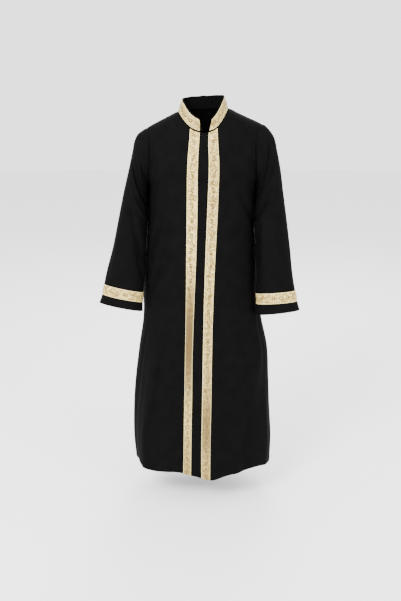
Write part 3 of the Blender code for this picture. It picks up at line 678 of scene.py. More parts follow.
def ripple(across, along):
    """Slow unevenness of hanging cloth, up to about RIPPLE: the mean of the waves at a flat place."""
    total = 0
    for wave in WAVES:
        total = total + wave.size * np.sin(wave.across * across + wave.along * along + wave.shift)
    return RIPPLE * total / sum(wave.size for wave in WAVES)


def lengths(points, axis):
    """Distance walked along a grid's rows or columns from their first point."""
    steps = np.linalg.norm(np.diff(points, axis=axis), axis=2)
    start = np.zeros_like(np.take(steps, [0], axis=axis))
    return np.concatenate([start, np.cumsum(steps, axis=axis)], axis=axis)


def cloth_uv(points):
    """A grid's flat coordinates in metres: the mean distance across and along."""
    across = lengths(points, 1)
    along = lengths(points, 0)
    return np.stack([across - across.mean(axis=1, keepdims=True), along[-1:] - along], axis=2)


def grid_faces(rows, columns, closed):
    """Corner indices of a grid's quads, and the places of their corners on a grid with no wrap."""
    index = np.arange(rows * columns).reshape(rows, columns)
    if closed:
        index = np.concatenate([index, index[:, :1]], axis=1)
    flat = np.arange(index.size).reshape(index.shape)
    return [
        np.stack([g[:-1, :-1], g[:-1, 1:], g[1:, 1:], g[1:, :-1]], axis=-1).reshape(-1, 4)
        for g in (index, flat)
    ]


def placed(name, data):
    """A new object in the scene."""
    thing = bpy.data.objects.new(name, data)
    bpy.context.scene.collection.objects.link(thing)
    return thing


def make_mesh(name, points, faces, corner_uv, material, tone=None):
    """An object from points and quads, with one UV in metres for each corner and a painted shade for each
    point.
    """
    mesh = bpy.data.meshes.new(name)
    mesh.from_pydata(points.tolist(), [], faces.tolist())
    mesh.uv_layers.new(name="flat").data.foreach_set("uv", corner_uv.astype(np.float32).ravel())
    if tone is not None:
        values = mesh.attributes.new("tone", "FLOAT", "POINT")
        values.data.foreach_set("value", tone.astype(np.float32).ravel())
    mesh.materials.append(material)
    mesh.shade_smooth()
    return placed(name, mesh)


def make_cloth(name, points, inside, wall, material, outward=False, closed=False, tone=None):
    """A piece of cloth from a grid of points: faces away from the inside, then a wall."""
    rows, columns = points.shape[:2]
    faces, places = grid_faces(rows, columns, closed)
    wrapped = np.concatenate([points, points[:, :1]], axis=1) if closed else points
    uv = cloth_uv(wrapped).reshape(-1, 2)
    cross = np.cross(points[0, 1] - points[0, 0], points[1, 0] - points[0, 0])
    if np.dot(cross, normals(points, inside, closed)[0, 0]) < 0:
        faces, places = faces[:, ::-1], places[:, ::-1]
    thing = make_mesh(name, points.reshape(-1, 3), faces, uv[places], material, tone)
    solidify = thing.modifiers.new("cloth wall", "SOLIDIFY")
    solidify.thickness = wall
    solidify.offset = 1 if outward else -1
    return thing


# Leaf scroll, flat, in millimetres: x across the ribbon, y along it
SCROLL_LENGTH = 104.0
RIBBON_MM = 35.0
EDGE_LINE_MM = 3.6  # of the scroll's edge lines from the ribbon's edges
STITCH_LINE_MM = 1.5  # and of the stitches
STITCH_PITCH_MM = 3.25
STITCH_SHARE = 0.76  # a stitch's length as a share of the pitch
BORDER_MM = 2.7  # smooth cream at each side of the ribbon
SELVEDGE_MM = 1.4
SELVEDGE_RISE = 0.00015  # metres
PATTERN_SINK = 0.0002  # the relief's foot lies this deep in the ribbon

# How a raised line stands out: the height of its shoulders is 0.85 of this height, and that of its
# middle is this share
Relief = namedtuple("Relief", "height middle")
SWIRL_RELIEF = Relief(0.45, 1.0)
STEM_RELIEF = Relief(0.40, 1.0)
LEAF_RELIEF = Relief(0.42, 0.45)
BERRY_RELIEF = Relief(0.50, 1.1)
EDGE_RELIEF = Relief(0.25, 1.0)
STITCH_RELIEF = Relief(0.34, 1.15)
SWIRL_HALF_WIDTHS = (1.5625, 1.0)  # at its outer and its inner end
STEM_HALF_WIDTH = 0.9375
EDGE_HALF_WIDTH = 0.4
TIP_HALF_WIDTH = 0.05  # at the tips of leaves and berries
STITCH_END = 0.08
STITCH_SWELL = 0.22  # a stitch's middle is wider than its ends by this, either way

# A leaf is a bent line between two points that swells from its tips. bend is a share of its length.
Leaf = namedtuple("Leaf", "x1 y1 x2 y2 half_width bend")
LEAVES = [
    Leaf(17.2, 36.0, 10.6, 31.6, 2.2, 0.20),
    Leaf(18.0, 36.0, 24.6, 31.6, 2.2, -0.20),
    Leaf(17.2, 37.4, 10.0, 40.2, 2.5, -0.20),
    Leaf(18.0, 37.4, 25.2, 40.2, 2.5, 0.20),
    Leaf(17.2, 43.4, 11.0, 46.8, 2.0, -0.18),
    Leaf(18.0, 43.4, 24.2, 46.8, 2.0, 0.18),
    Leaf(26.2, 20.2, 29.4, 26.0, 1.7, -0.20),
    Leaf(26.9, 15.0, 30.6, 18.4, 1.6, -0.20),
    Leaf(8.2, 8.6, 5.2, 3.4, 1.7, -0.20),
    Leaf(7.6, 13.6, 4.2, 10.4, 1.6, -0.20),
]
Berry = namedtuple("Berry", "x y radius")
BERRIES = [
    Berry(17.6, 31.2, 1.2),
    Berry(12.8, 36.0, 0.9),
    Berry(22.4, 36.0, 0.9),
    Berry(17.6, 47.6, 1.1),
    Berry(6.4, 25.4, 1.0),
    Berry(28.8, 6.2, 1.0),
]
SWIRL_CENTRE = np.array([17.3, 14.4])
SWIRL_RADII = (7.2, 11.6)
SWIRL_TURNS = 1.45
SWIRL_CLOSING = 0.74  # the oval has shrunk by this share when it ends
SWIRL_PACE = 0.9  # below 1 it shrinks faster at first
SWIRL_FROM = np.radians(78)
SWIRL_TILT = np.radians(-16)
STEM_SWING = 3.2  # the stem's wave, either way
LEAD_SWING = 2.4  # the short stem that leads into the swirl
LEAD_LENGTH = 5.0
LEAF_BROAD = 0.8  # below 1 a leaf is broadest nearer its foot
LEAF_ROUND = 0.9

# Points along the pattern's lines
SWIRL_STEPS = 44
STEM_STEPS = 14
LEAD_STEPS = 8
LEAF_STEPS = 9
BERRY_STEPS = 7
EDGE_STEPS = 27
STITCH_STEPS = 5


def strip(path, half_width, relief):
    """Vertices (x, y, height) and quads of a rounded strip: a five-point section along a flat path.

    The section is as wide as half_width either way of the path. Where that is under half of its
    greatest value, the strip also comes down in proportion.
    """
    along = np.gradient(path, axis=0)
    along /= np.linalg.norm(along, axis=1, keepdims=True)
    side = np.stack([-along[:, 1], along[:, 0]], axis=1)
    across = np.array([-1, -0.6, 0, 0.6, 1])
    section = np.array([0, 0.85, relief.middle, 0.85, 0])
    flat = path[:, None] + side[:, None] * (half_width[:, None] * across)[..., None]
    fade = np.minimum(1, half_width / (half_width.max() / 2))
    lift = relief.height * section * fade[:, None]
    vertices = np.concatenate([flat, lift[..., None]], axis=2).reshape(-1, 3)
    return vertices, grid_faces(len(path), len(across), False)[0]


def scroll_parts():
    """One half repeat of the scroll as strips: an oval swirl, its stem, a spray of leaves, and berries.

    The swirl winds inward on a tilted oval that shrinks as it turns. A stem runs on from its outer
    end through the spray to where the next half begins, in one wave, and a short one leads into it.
    """
    t = np.linspace(0, 1, SWIRL_STEPS)[:, None]
    turn = SWIRL_FROM - t * SWIRL_TURNS * 2 * np.pi
    ring = np.concatenate([SWIRL_RADII[0] * np.cos(turn), SWIRL_RADII[1] * np.sin(turn)], axis=1)
    ring = ring * (1 - SWIRL_CLOSING * t**SWIRL_PACE)
    tilt = np.array([[np.cos(SWIRL_TILT), np.sin(SWIRL_TILT)], [-np.sin(SWIRL_TILT), np.cos(SWIRL_TILT)]])
    swirl = SWIRL_CENTRE + ring @ tilt
    parts = [strip(swirl, np.linspace(*SWIRL_HALF_WIDTHS, len(swirl)), SWIRL_RELIEF)]

    t = np.linspace(0, 1, STEM_STEPS)
    stem_to = np.array([RIBBON_MM / 2, SCROLL_LENGTH / 2])
    stem = swirl[0] + (stem_to - swirl[0]) * t[:, None]
    stem[:, 0] += STEM_SWING * np.sin(2 * np.pi * t)
    parts.append(strip(stem, np.full(len(t), STEM_HALF_WIDTH), STEM_RELIEF))
    t = np.linspace(0, 1, LEAD_STEPS)
    lead = np.stack([RIBBON_MM / 2 + LEAD_SWING * np.sin(np.pi * t), LEAD_LENGTH * t], axis=1)
    parts.append(strip(lead, np.full(len(t), STEM_HALF_WIDTH), STEM_RELIEF))

    t = np.linspace(0, 1, LEAF_STEPS)
    swell = np.sin(np.pi * t**LEAF_BROAD) ** LEAF_ROUND
    for leaf in LEAVES:
        start, end = np.array([leaf.x1, leaf.y1]), np.array([leaf.x2, leaf.y2])
        sideways = np.array([-(end - start)[1], (end - start)[0]]) * leaf.bend
        path = start + (end - start) * t[:, None] + sideways * np.sin(np.pi * t)[:, None]
        parts.append(strip(path, TIP_HALF_WIDTH + leaf.half_width * swell, LEAF_RELIEF))

    t = np.linspace(-1, 1, BERRY_STEPS)
    for berry in BERRIES:
        path = np.array([berry.x, berry.y]) + np.stack([0 * t, t * berry.radius], axis=1)
        parts.append(strip(path, TIP_HALF_WIDTH + berry.radius * np.sqrt(1 - t**2), BERRY_RELIEF))
    return parts


def joined(parts):
    """Strips as one set of vertices and faces."""
    vertices, faces, count = [], [], 0
    for part_vertices, part_faces in parts:
        vertices.append(part_vertices)
        faces.append(part_faces + count)
        count += len(part_vertices)
    return np.concatenate(vertices), np.concatenate(faces)


def scroll_pattern():
    """One whole repeat: the half repeat, its mirror image half a length on, and two edge lines."""
    half = scroll_parts()
    parts = list(half)
    for vertices, faces in half:
        mirrored = vertices * [-1, 1, 1] + [RIBBON_MM, SCROLL_LENGTH / 2, 0]
        parts.append((mirrored, faces[:, ::-1]))
    y = np.linspace(0, SCROLL_LENGTH, EDGE_STEPS)
    for x in (EDGE_LINE_MM, RIBBON_MM - EDGE_LINE_MM):
        edge = np.stack([0 * y + x, y], axis=1)
        parts.append(strip(edge, np.full(len(y), EDGE_HALF_WIDTH), EDGE_RELIEF))
    return joined(parts)


def stitch_pattern():
    """One repeat of the machine stitches that hold the ribbon down, a row of them along each edge."""
    parts = []
    t = np.linspace(-1, 1, STITCH_STEPS)
    half_width = STITCH_END + STITCH_SWELL * np.sqrt(1 - t**2)
    half_length = STITCH_PITCH_MM * STITCH_SHARE / 2
    for x in (STITCH_LINE_MM, RIBBON_MM - STITCH_LINE_MM):
        for i in range(int(SCROLL_LENGTH / STITCH_PITCH_MM)):
            path = np.stack([0 * t + x, (i + 0.5) * STITCH_PITCH_MM + half_length * t], axis=1)
            parts.append(strip(path, half_width, STITCH_RELIEF))
    return joined(parts)


def make_relief(name, pattern, top, normal, along, material, painted_shade_at):
    """A flat pattern as relief on a ribbon whose grid has rows along it and columns across it.

    along gives each point's distance along the ribbon. The pattern repeats a whole number of times
    on the mean length, and each vertex is placed by its row in the two columns beside it. Quads
    that reach past the ribbon's ends are left out.
    """
    start = along[0].mean()
    total = (along[-1] - along[0]).mean()
    times = int(round(total / (SCROLL_LENGTH / 1000)))
    pitch = total / times
    vertices, faces = pattern
    steps = np.arange(-1, times + 1)
    y = start + (vertices[:, 1] / SCROLL_LENGTH + steps[:, None]) * pitch
    x = np.tile(vertices[:, 0] / RIBBON_MM, len(steps)) * (top.shape[1] - 1)
    height = np.tile(vertices[:, 2] / 1000, len(steps)) - PATTERN_SINK
    y = y.ravel()
    row_numbers = np.arange(top.shape[0])
    rows = np.stack([np.interp(y, along[:, c], row_numbers) for c in range(top.shape[1])], axis=1)
    left = np.clip(x.astype(int), 0, top.shape[1] - 2)
    point, lift, shade = 0, 0, 0
    inside = np.ones(len(y), bool)
    for column, share in ((left, 1 - (x - left)), (left + 1, x - left)):
        row = rows[np.arange(len(y)), column]
        low = np.clip(row.astype(int), 0, top.shape[0] - 2)
        part = (row - low)[:, None]
        point = point + share[:, None] * (top[low, column] * (1 - part) + top[low + 1, column] * part)
        lift = lift + share[:, None] * (normal[low, column] * (1 - part) + normal[low + 1, column] * part)
        shade = shade + share * painted_shade_at[low, column]
        inside &= (y >= along[0, column]) & (y <= along[-1, column])
    point = point + lift * height[:, None]
    faces = (faces + len(vertices) * np.arange(len(steps))[:, None, None]).reshape(-1, 4)
    faces = faces[np.all(inside[faces], axis=1)]
    corner = point[faces]
    cross = np.cross(corner[:, 1] - corner[:, 0], corner[:, 3] - corner[:, 0])
    if np.sum(cross * lift[faces[:, 0]]) < 0:
        faces = faces[:, ::-1]
    used, faces = np.unique(faces, return_inverse=True)
    faces = faces.reshape(-1, 4)
    flat = np.stack([x[used] / (top.shape[1] - 1) * RIBBON_MM / 1000, y[used]], axis=1)
    return make_mesh(name, point[used], faces, flat[faces], material, shade[used])


def node(tree, kind, inputs=None, **settings):
    """Adds one node, with its settings, and its inputs as values or as the sockets they come from."""
    made = tree.nodes.new(kind)
    for name, value in settings.items():
        setattr(made, name, value)
    for key, value in (inputs or {}).items():
        if isinstance(value, bpy.types.NodeSocket):
            tree.links.new(value, made.inputs[key])
        else:
            made.inputs[key].default_value = value
    return made


# Sockets of a colour Mix node, whose names repeat
MIX_SHARE = 0
MIX_A = 6
MIX_B = 7
MIX_RESULT = 2


def mix(tree, share, a, b, **settings):
    """The colour that lies a share of the way from a to b, or as the settings' blend type has it."""
    inputs = {MIX_SHARE: share, MIX_A: a, MIX_B: b}
    return node(tree, "ShaderNodeMix", inputs, data_type="RGBA", **settings).outputs[MIX_RESULT]


def noise(tree, flat, millimetres, detail, **more):
    """Noise whose patches are about this wide on the flat cloth."""
    inputs = {"Vector": flat, "Scale": 1000 / millimetres, "Detail": detail, **more}
    return node(tree, "ShaderNodeTexNoise", inputs).outputs["Fac"]


def lines(tree, flat, millimetres, direction, distortion, detail_scale=1.0):
    """Lines this far apart on the flat cloth. A Wave node turns through 20 radians a unit."""
    scale = 2 * np.pi / 20 / (millimetres / 1000)
    uneven = {"Distortion": distortion, "Detail": 1.0, "Detail Scale": detail_scale}
    inputs = {"Vector": flat, "Scale": scale, **uneven}
    return node(tree, "ShaderNodeTexWave", inputs, bands_direction=direction).outputs["Fac"]


def turned(tree, flat, degrees):
    """The flat cloth's coordinates, turned."""
    inputs = {"Vector": flat, "Rotation": (0, 0, np.radians(degrees))}
    return node(tree, "ShaderNodeMapping", inputs).outputs["Vector"]


def bump(tree, height, strength, distance, **more):
    """The normal of a height that is this many metres deep at full strength."""
    inputs = {"Height": height, "Strength": strength, "Distance": distance, **more}
    return node(tree, "ShaderNodeBump", inputs).outputs["Normal"]


def wire(tree, shader, colour, normal, sheen_and_wear, smooth, rough):
    """Gives the shader its colour, its normal, and a roughness from smooth to rough as the given mottle of
    sheen and wear has it.
    """
    roughness = node(tree, "ShaderNodeMapRange", {"Value": sheen_and_wear, "To Min": smooth, "To Max": rough})
    tree.links.new(colour, shader.inputs["Base Color"])
    tree.links.new(normal, shader.inputs["Normal"])
    tree.links.new(roughness.outputs["Result"], shader.inputs["Roughness"])


def linear(hex_colour):
    """An sRGB hex colour as linear RGBA."""
    value = np.array([int(hex_colour[i : i + 2], 16) for i in (1, 3, 5)]) / 255
    value = np.where(value <= 0.04045, value / 12.92, ((value + 0.055) / 1.055) ** 2.4)
    return (*value.tolist(), 1.0)


def new_material(name, **sockets):
    """A material with its Principled shader, whose constant sockets are set by name."""
    material = bpy.data.materials.new(name)
    material.use_nodes = True
    tree = material.node_tree
    shader = tree.nodes["Principled BSDF"]
    for socket, value in sockets.items():
        shader.inputs[socket.replace("_", " ")].default_value = value
    return material, tree, shader


def make_twill():
    """Polyester and wool twill, piece-dyed black and pressed: nearly matt, with almost no sheen.

    The twill line of the real cloth is 0.5 mm apart. It is drawn at 1.6 mm, the finest that a close
    view shows. Its slubs are 4 mm wide, and the patches where it is rubbed are 45 mm wide.
    """
    material, tree, shader = new_material("black_twill", Specular_IOR_Level=0.03)
    flat = node(tree, "ShaderNodeUVMap", uv_map="flat").outputs["UV"]
    slub = noise(tree, flat, 4.17, 3.0)
    patch = noise(tree, flat, 45.5, 4.0)
    line = lines(tree, turned(tree, flat, 63), 1.6, "X", 0.7, 3.0)
    dye = mix(tree, patch, linear("#040404"), linear("#0F0E0E"))
    thread = mix(tree, line, linear("#BAB7B7"), linear("#FFFFFF"))
    colour = mix(tree, 1.0, dye, thread, blend_type="MULTIPLY")
    weave = bump(tree, line, 0.5, 0.00012)
    grain = bump(tree, slub, 0.6, 0.0003, Normal=weave)
    wire(tree, shader, colour, grain, patch, 0.80, 0.94)
    return material


def make_ribbon_ground():
    """The brocade ribbon's ground: cream and gold rayon satin, tan where it turns from the light.

    The weft ribs of a real one are 0.4 mm apart, drawn at 0.9 mm. The mottling is painted sheen, the
    satin's uneven shine in patches about 8 mm wide, and painted glints of its threads every 1.1 mm. A
    cream border that fades out 3 mm in runs down each side.
    """
    material, tree, shader = new_material("brocade_ground", Metallic=0.15, Specular_IOR_Level=0.5)
    flat = node(tree, "ShaderNodeUVMap", uv_map="flat").outputs["UV"]
    # Painted shade: the ribbon darkens to tan where it turns from the light, by the attribute read here
    tone = node(tree, "ShaderNodeAttribute", attribute_name="tone").outputs["Fac"]
    # Painted glints: a fine speckle that lightens the threads where they would catch the light
    glint = noise(tree, flat, 1.11, 2.0)
    # Painted sheen: patches of lighter and darker cream for the satin's uneven shine, which also set the
    # roughness
    sheen_and_wear = noise(tree, flat, 7.69, 3.0, Distortion=0.8)
    satin = node(tree, "ShaderNodeMapRange", {"Value": sheen_and_wear, "From Min": 0.36, "From Max": 0.60})
    cream = mix(tree, satin.outputs["Result"], linear("#9C7718"), linear("#FFEC98"))
    thread = mix(tree, glint, linear("#D2C3A2"), linear("#FFFFFF"))
    gold = mix(tree, 1.0, cream, thread, blend_type="MULTIPLY")
    shade = mix(tree, tone, gold, linear("#5A4412"))
    edge = node(tree, "ShaderNodeAttribute", attribute_name="border").outputs["Fac"]
    border = node(tree, "ShaderNodeMapRange", {"Value": edge, "To Max": 0.75})
    colour = mix(tree, border.outputs["Result"], shade, linear("#FCEAA4"))
    ribs = bump(tree, lines(tree, flat, 0.9, "Y", 0.3), 0.6, 0.0002)
    wire(tree, shader, colour, ribs, sheen_and_wear, 0.36, 0.55)
    return material


def make_ribbon_scroll():
    """The scroll's raised lines, of metal film wound on yellow rayon: shinier and darker than the ground.

    The film is worn in patches 9 mm wide. Its floats lie aslant, drawn 0.7 mm apart instead of 0.3.
    """
    material, tree, shader = new_material("brocade_gold_scroll", Metallic=0.45, Specular_IOR_Level=0.6)
    flat = node(tree, "ShaderNodeUVMap", uv_map="flat").outputs["UV"]
    tone = node(tree, "ShaderNodeAttribute", attribute_name="tone").outputs["Fac"]
    sheen_and_wear = noise(tree, flat, 9.09, 3.0)
    gold = mix(tree, sheen_and_wear, linear("#2A1F02"), linear("#624A06"))
    # Painted shade: the scroll turns tan where the ribbon turns from the light
    colour = mix(tree, tone, gold, linear("#5C4218"))
    floats = bump(tree, lines(tree, turned(tree, flat, 28), 0.7, "Y", 0.4), 0.5, 0.00012)
    wire(tree, shader, colour, floats, sheen_and_wear, 0.26, 0.42)
    return material


def make_thread():
    """Cream polyester sewing thread: a slight gloss, darkened a little by its twist."""
    material, _, shader = new_material("cream_thread", Specular_IOR_Level=0.5)
    shader.inputs["Base Color"].default_value = linear("#E6D7AE")
    shader.inputs["Roughness"].default_value = 0.5
    return material


def make_floor_paint():
    """Matt white studio paint."""
    material, _, shader = new_material("studio_white_paint")
    shader.inputs["Base Color"].default_value = linear("#F4F4F4")
    shader.inputs["Roughness"].default_value = 0.9
    return material


def finish_piece(thing, slot, *nodes):
    """A piece rides on the one body and may stand for its solid; its slot is not used."""
    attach(thing, "root")
    if nodes:
        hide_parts(*nodes)


def lay_cloth(name, points, inside, closed=False):
    """A piece of the robe in black twill, which stands for the solid of its name."""
    cloth = make_cloth(f"robe_{name}", points, inside, WALL, black, closed=closed)
    finish_piece(cloth, "black_cloth", name)


def make_ribbon(name, points, away, tone, along=None):
    """A ribbon laid on a grid of points, rows along it and columns across, with its relief on top.

    Its woven edges stand SELVEDGE_RISE proud in the outer columns, which also carry the border.
    """
    across = np.linspace(0, RIBBON_MM, points.shape[1])
    from_edge = np.minimum(across, RIBBON_MM - across)
    rise = SELVEDGE_RISE * (from_edge < SELVEDGE_MM)
    base = points + away * (LAY_GAP + rise[:, None])
    thing = make_cloth(f"robe_{name}", base, base - away, RIBBON_WALL, ground, outward=True, tone=tone)
    border = 1.0 * (from_edge < BORDER_MM)
    values = thing.data.attributes.new("border", "FLOAT", "POINT")
    values.data.foreach_set("value", np.tile(border, points.shape[0]).astype(np.float32))
    if along is None:
        along = lengths(base, 0)
        along = along / along[-1] * along[-1].mean()
    finish_piece(thing, "gold_brocade", name)
    top = base + away * RIBBON_WALL
    for what, pattern, material in (
        ("scroll", scroll_pattern(), scroll),
        ("stitches", stitch_pattern(), cream_thread),
    ):
        relief = make_relief(f"robe_{name}_{what}", pattern, top, away, along, material, tone)
        finish_piece(relief, "gold_brocade")


def seam_dip(distance):
    """How far the cloth sinks beside a seam: a bell, gone 6 mm away."""
    return -SEAM_SINK * np.exp(-((distance / SEAM_SOFTNESS) ** 2))


def hem_lift(distance):
    """The hem's smooth step up at HEM_DEPTH from the edge, with the bell of its stitches' dip there."""
    turned = HEM_STEP * ease((HEM_DEPTH - distance) / HEM_STEP_SOFTNESS)
    return turned - HEM_STITCH_SINK * np.exp(-(((distance - HEM_DEPTH) / HEM_STITCH_SOFTNESS) ** 2))


def near_neck(points):
    """1 on the neckline, falling evenly to 0 some 30 mm outside it."""
    fall = (neck_size(points) - 1) / NECK_CALM
    return np.clip(1 - fall, 0, 1) * (points[..., 2] > UNDERARM_Z)


def panel_grid(angles, share, creases):
    """A body panel with its folds, fine creases and seam dips, and the middle line that it faces from.

    The fronts and the back meet at y = 0 below the underarm, so that the side seams stay shut.
    """
    points, angle, level = panel(angles, share)
    inside = body_axis(points)
    away = normals(points, inside)
    around = np.radians(angle) * BODY_RADIUS
    places = np.stack([angle, points[..., 2]], axis=2)
    lift = crease_lift(places, creases, np.array([np.radians(1) * BODY_RADIUS, 1.0]))
    lift = lift + ripple(around, points[..., 2])
    lift = lift * ease((1 - level) / SHOULDER_CALM) * (1 - near_neck(points))
    side = lengths(points, 1)
    from_side = np.abs(np.abs((angle + 180) % 360 - 180) - 90)
    lift = lift + (seam_dip(side) + seam_dip(side[:, -1:] - side)) * (from_side < SIDE_SEAM_TURN)
    walked = lengths(points, 0)
    lift = lift + seam_dip(walked) * (level[0] > SHOULDER_FROM)
    lift = lift + hem_lift(walked[-1:] - walked)
    points = points + away * lift[..., None]
    on_seam = (level <= 0) & (from_side < SEAM_SNAP)
    points[..., 1] = np.where(on_seam, 0.0, points[..., 1])
    return points, inside


def make_front(side, word):
    """One front with the ribbon down its edge."""

    def angles(share, level):
        return front_angles(side, share, level)

    points, inside = panel_grid(angles, shares(BAND_CELLS, NECK_CELLS, SIDE_CELLS), FRONT_CREASES)
    lay_cloth(f"front_{word}", points, inside)
    band = points[BAND_DROP_ROWS:, : BAND_CELLS + 1]
    away = normals(points, inside)[BAND_DROP_ROWS:, : BAND_CELLS + 1]
    walked = lengths(band, 0)
    along = walked - walked[-1] + walked[-1].max()
    tone = curve(band[..., 2], TONES, "z", word)
    make_ribbon(f"band_front_{word}", band, away, tone, along)
    return points


def make_back():
    """The back, in one piece."""
    share = shares(SIDE_CELLS, NECK_CELLS, NECK_CELLS, SIDE_CELLS)
    points, inside = panel_grid(back_angles, share, BACK_CREASES)
    lay_cloth("back", points, inside)
    return points


def make_placket(front_right, front_left):
    """The strip behind the closure.

    It goes straight across between the fronts' edges, and on under each ribbon by PLACKET_UNDER of
    its width. All of it lies a wall and a gap behind the fronts.
    """
    right_edge = front_right[:, 0]
    left_edge = front_left[:, 0]
    right_under = right_edge + (front_right[:, BAND_CELLS] - right_edge) * PLACKET_UNDER
    left_under = left_edge + (front_left[:, BAND_CELLS] - left_edge) * PLACKET_UNDER
    knots = np.stack([right_under, right_edge, left_edge, left_under], axis=1)[PLACKET_DROP_ROWS:]
    at = shares(*PLACKET_CELLS)
    first = np.minimum(at.astype(int), len(PLACKET_CELLS) - 1)
    part = (at - first)[:, None]
    points = knots[:, first] * (1 - part) + knots[:, first + 1] * part
    points = points - normals(points, body_axis(points)) * (WALL + LAY_GAP)
    lay_cloth("placket", points, body_axis(points))


def make_collar(neckline):
    """The stand collar with its ribbon, and the small tab at its right end.

    It rises from the neckline by COLLAR_HEIGHT times a share. Its sides lean in, its ends part a
    little, and the top corner of its right end is a quarter circle.
    """
    base = neckline - np.array([0, 0, SEAM_LAP])
    x, y = base[:, 0], base[:, 1]
    in_front = np.clip(-y / NECK_FRONT_DEPTH, 0, 1)
    to_back = np.clip(y / NECK_BACK_DEPTH, 0, 1)
    end = np.exp(-((x / END_REACH) ** 2)) * (y < 0)
    spread = np.where(x < 0, -RIGHT_END_SPREAD, LEFT_END_SPREAD)
    lean_x = -x / NECK_HALF_WIDTH * COLLAR_NARROWING + end * spread
    lean_y = in_front * COLLAR_LEAN_FRONT - to_back * COLLAR_LEAN_BACK
    lean = np.stack([lean_x, lean_y, np.full(len(x), COLLAR_HEIGHT)], axis=1)
    from_end = lengths(base[None], 1)[0]
    corner = np.clip(CORNER - from_end, 0, CORNER)
    top = 1 - (CORNER - np.sqrt(CORNER**2 - corner**2)) / COLLAR_HEIGHT
    share = np.linspace(0, 1, COLLAR_CELLS + 1)[:, None]
    points = base + lean * (share * top)[..., None]
    inside = points.mean(axis=(0, 1))
    lay_cloth("collar", points, inside)

    band_low = COLLAR_BAND_FROM / COLLAR_HEIGHT
    band_high = (COLLAR_BAND_FROM + BAND_WIDTH) / COLLAR_HEIGHT
    share = np.linspace(band_low, band_high, BAND_CELLS + 1)[:, None]
    band = base + lean * (share * top)[..., None]
    away = normals(band, inside)
    tone = np.full(band.shape[:2], COLLAR_TONE).T
    make_ribbon("band_collar", band.transpose(1, 0, 2), away.transpose(1, 0, 2), tone)

    first = band[:, 0] - away[:, 0] * (WALL + LAY_GAP)
    toward_gap = band[:, 0] - band[:, 2]
    toward_gap /= np.linalg.norm(toward_gap, axis=1, keepdims=True)
    middle = first.mean(axis=0)
    first = middle + (first - middle) * TAB_SHARE
    reach = np.linspace(-TAB_UNDER, TAB_OUT, TAB_CELLS + 1)
    tab = first[:, None] + toward_gap[:, None] * reach[None, :, None]
    lay_cloth("collar_tab", tab, inside)


def make_sleeve(side, word, table, folds, creases):
    """One sleeve with its folds, fine creases, underarm seam and cuff ribbon."""
    points, turn, reach = sleeve(side, table, folds)
    middle = points.mean(axis=1, keepdims=True)
    length = lengths(points, 0).mean(axis=1).max()
    places = np.stack([(turn + 0.25) % 1 - 0.25, reach], axis=2)
    scale = np.array([SLEEVE_GIRTH, length])
    lift = crease_lift(places, creases, scale) + ripple(points[..., 1], reach * length)
    lift = lift * ease(reach / ARMHOLE_CALM) * ease((1 - reach) / CUFF_CALM)
    lift = lift + seam_dip(reach * length) + seam_dip(np.minimum(turn, 1 - turn) * SLEEVE_GIRTH)
    points = points + normals(points, middle, closed=True) * lift[..., None]
    lay_cloth(f"sleeve_{word}", points, middle, closed=True)
    rows = slice(-2 * CUFF_CELLS - 1, -CUFF_CELLS)
    away = normals(points, middle, closed=True)[rows]
    band = points[rows]
    ring = np.concatenate([band, band[:, :1]], axis=1).transpose(1, 0, 2)
    away = np.concatenate([away, away[:, :1]], axis=1).transpose(1, 0, 2)
    tone = np.full(ring.shape[:2], CUFF_TONE)
    make_ribbon(f"band_cuff_{word}", ring, away, tone)


for old in [o for o in bpy.data.objects if o.type in ("CAMERA", "LIGHT")]:
    bpy.data.objects.remove(old)

black = make_twill()
ground = make_ribbon_ground()
scroll = make_ribbon_scroll()
cream_thread = make_thread()

right = make_front(-1, "right")
left = make_front(1, "left")
back = make_back()
make_placket(right, left)
neck_columns = BAND_CELLS + NECK_CELLS
back_neck = back[0, SIDE_CELLS : SIDE_CELLS + 2 * NECK_CELLS + 1][::-1]
neckline = np.concatenate([right[0, :neck_columns], back_neck, left[0, :neck_columns][::-1]])
make_collar(neckline)
make_sleeve(-1, "right", RIGHT_SLEEVE, RIGHT_SLEEVE_FOLDS, RIGHT_SLEEVE_CREASES)
make_sleeve(1, "left", LEFT_SLEEVE, LEFT_SLEEVE_FOLDS, LEFT_SLEEVE_CREASES)

# The cut of a sheet, in metres: the rectangle that it is cut from, and the flat area of what shows. No
# sheet is given one here.
Cut = namedtuple("Cut", "piece width length area held rests_on")

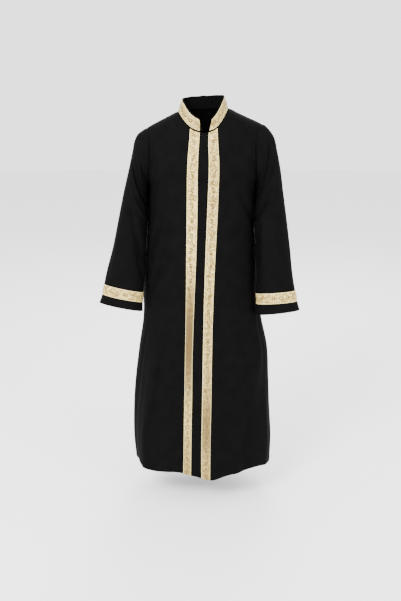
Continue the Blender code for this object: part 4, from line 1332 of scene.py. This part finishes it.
# Floor, lights and camera
FLOOR_Z = -1.40
FLOOR_RADIUS = 12.0
FLOOR_CORNERS = 96
turn = np.arange(FLOOR_CORNERS) / FLOOR_CORNERS * 2 * np.pi
rim = np.stack([np.cos(turn) * FLOOR_RADIUS, np.sin(turn) * FLOOR_RADIUS, 0 * turn + FLOOR_Z], axis=1)
floor_mesh = bpy.data.meshes.new("studio_floor")
floor_mesh.from_pydata(rim.tolist(), [], [list(range(FLOOR_CORNERS))])
floor_mesh.materials.append(make_floor_paint())
floor = placed("studio_floor", floor_mesh)

world = bpy.data.worlds.new("studio_air")
world.use_nodes = True
background = world.node_tree.nodes["Background"]
background.inputs["Color"].default_value = linear("#F7F8FA")
background.inputs["Strength"].default_value = 2.6
bpy.context.scene.world = world

Lamp = namedtuple("Lamp", "name x y z aim_z size watts")
LAMPS = [
    Lamp("key", -1.7, -2.6, 1.7, -0.5, 1.6, 260.0),
    Lamp("fill", 2.2, -2.2, 0.9, -0.6, 2.0, 70.0),
    Lamp("back", 0.4, 2.8, 1.9, -0.4, 2.0, 140.0),
]
for lamp in LAMPS:
    data = bpy.data.lights.new(lamp.name, "AREA")
    data.energy = lamp.watts
    data.shape = "DISK"
    data.size = lamp.size
    light = placed(lamp.name, data)
    light.location = (lamp.x, lamp.y, lamp.z)
    aim = np.array([0, 0, lamp.aim_z]) - np.array([lamp.x, lamp.y, lamp.z])
    pan = np.arctan2(-aim[0], aim[1])
    tilt = np.arctan2(np.hypot(aim[0], aim[1]), -aim[2])
    light.rotation_euler = (tilt, 0, pan)

CAMERA_PLACE = (-0.009, -2.40, 0.05)
CAMERA_PITCH = 16.5  # degrees below level
FOCAL_PIXELS = 694.213
FRAME_HEIGHT = 601
camera_data = bpy.data.cameras.new("camera")
camera_data.sensor_width = 36.0
camera_data.lens = FOCAL_PIXELS / FRAME_HEIGHT * camera_data.sensor_width
camera = placed("camera", camera_data)
camera.location = CAMERA_PLACE
camera.rotation_euler = (np.radians(90 - CAMERA_PITCH), 0, 0)
bpy.context.scene.camera = camera
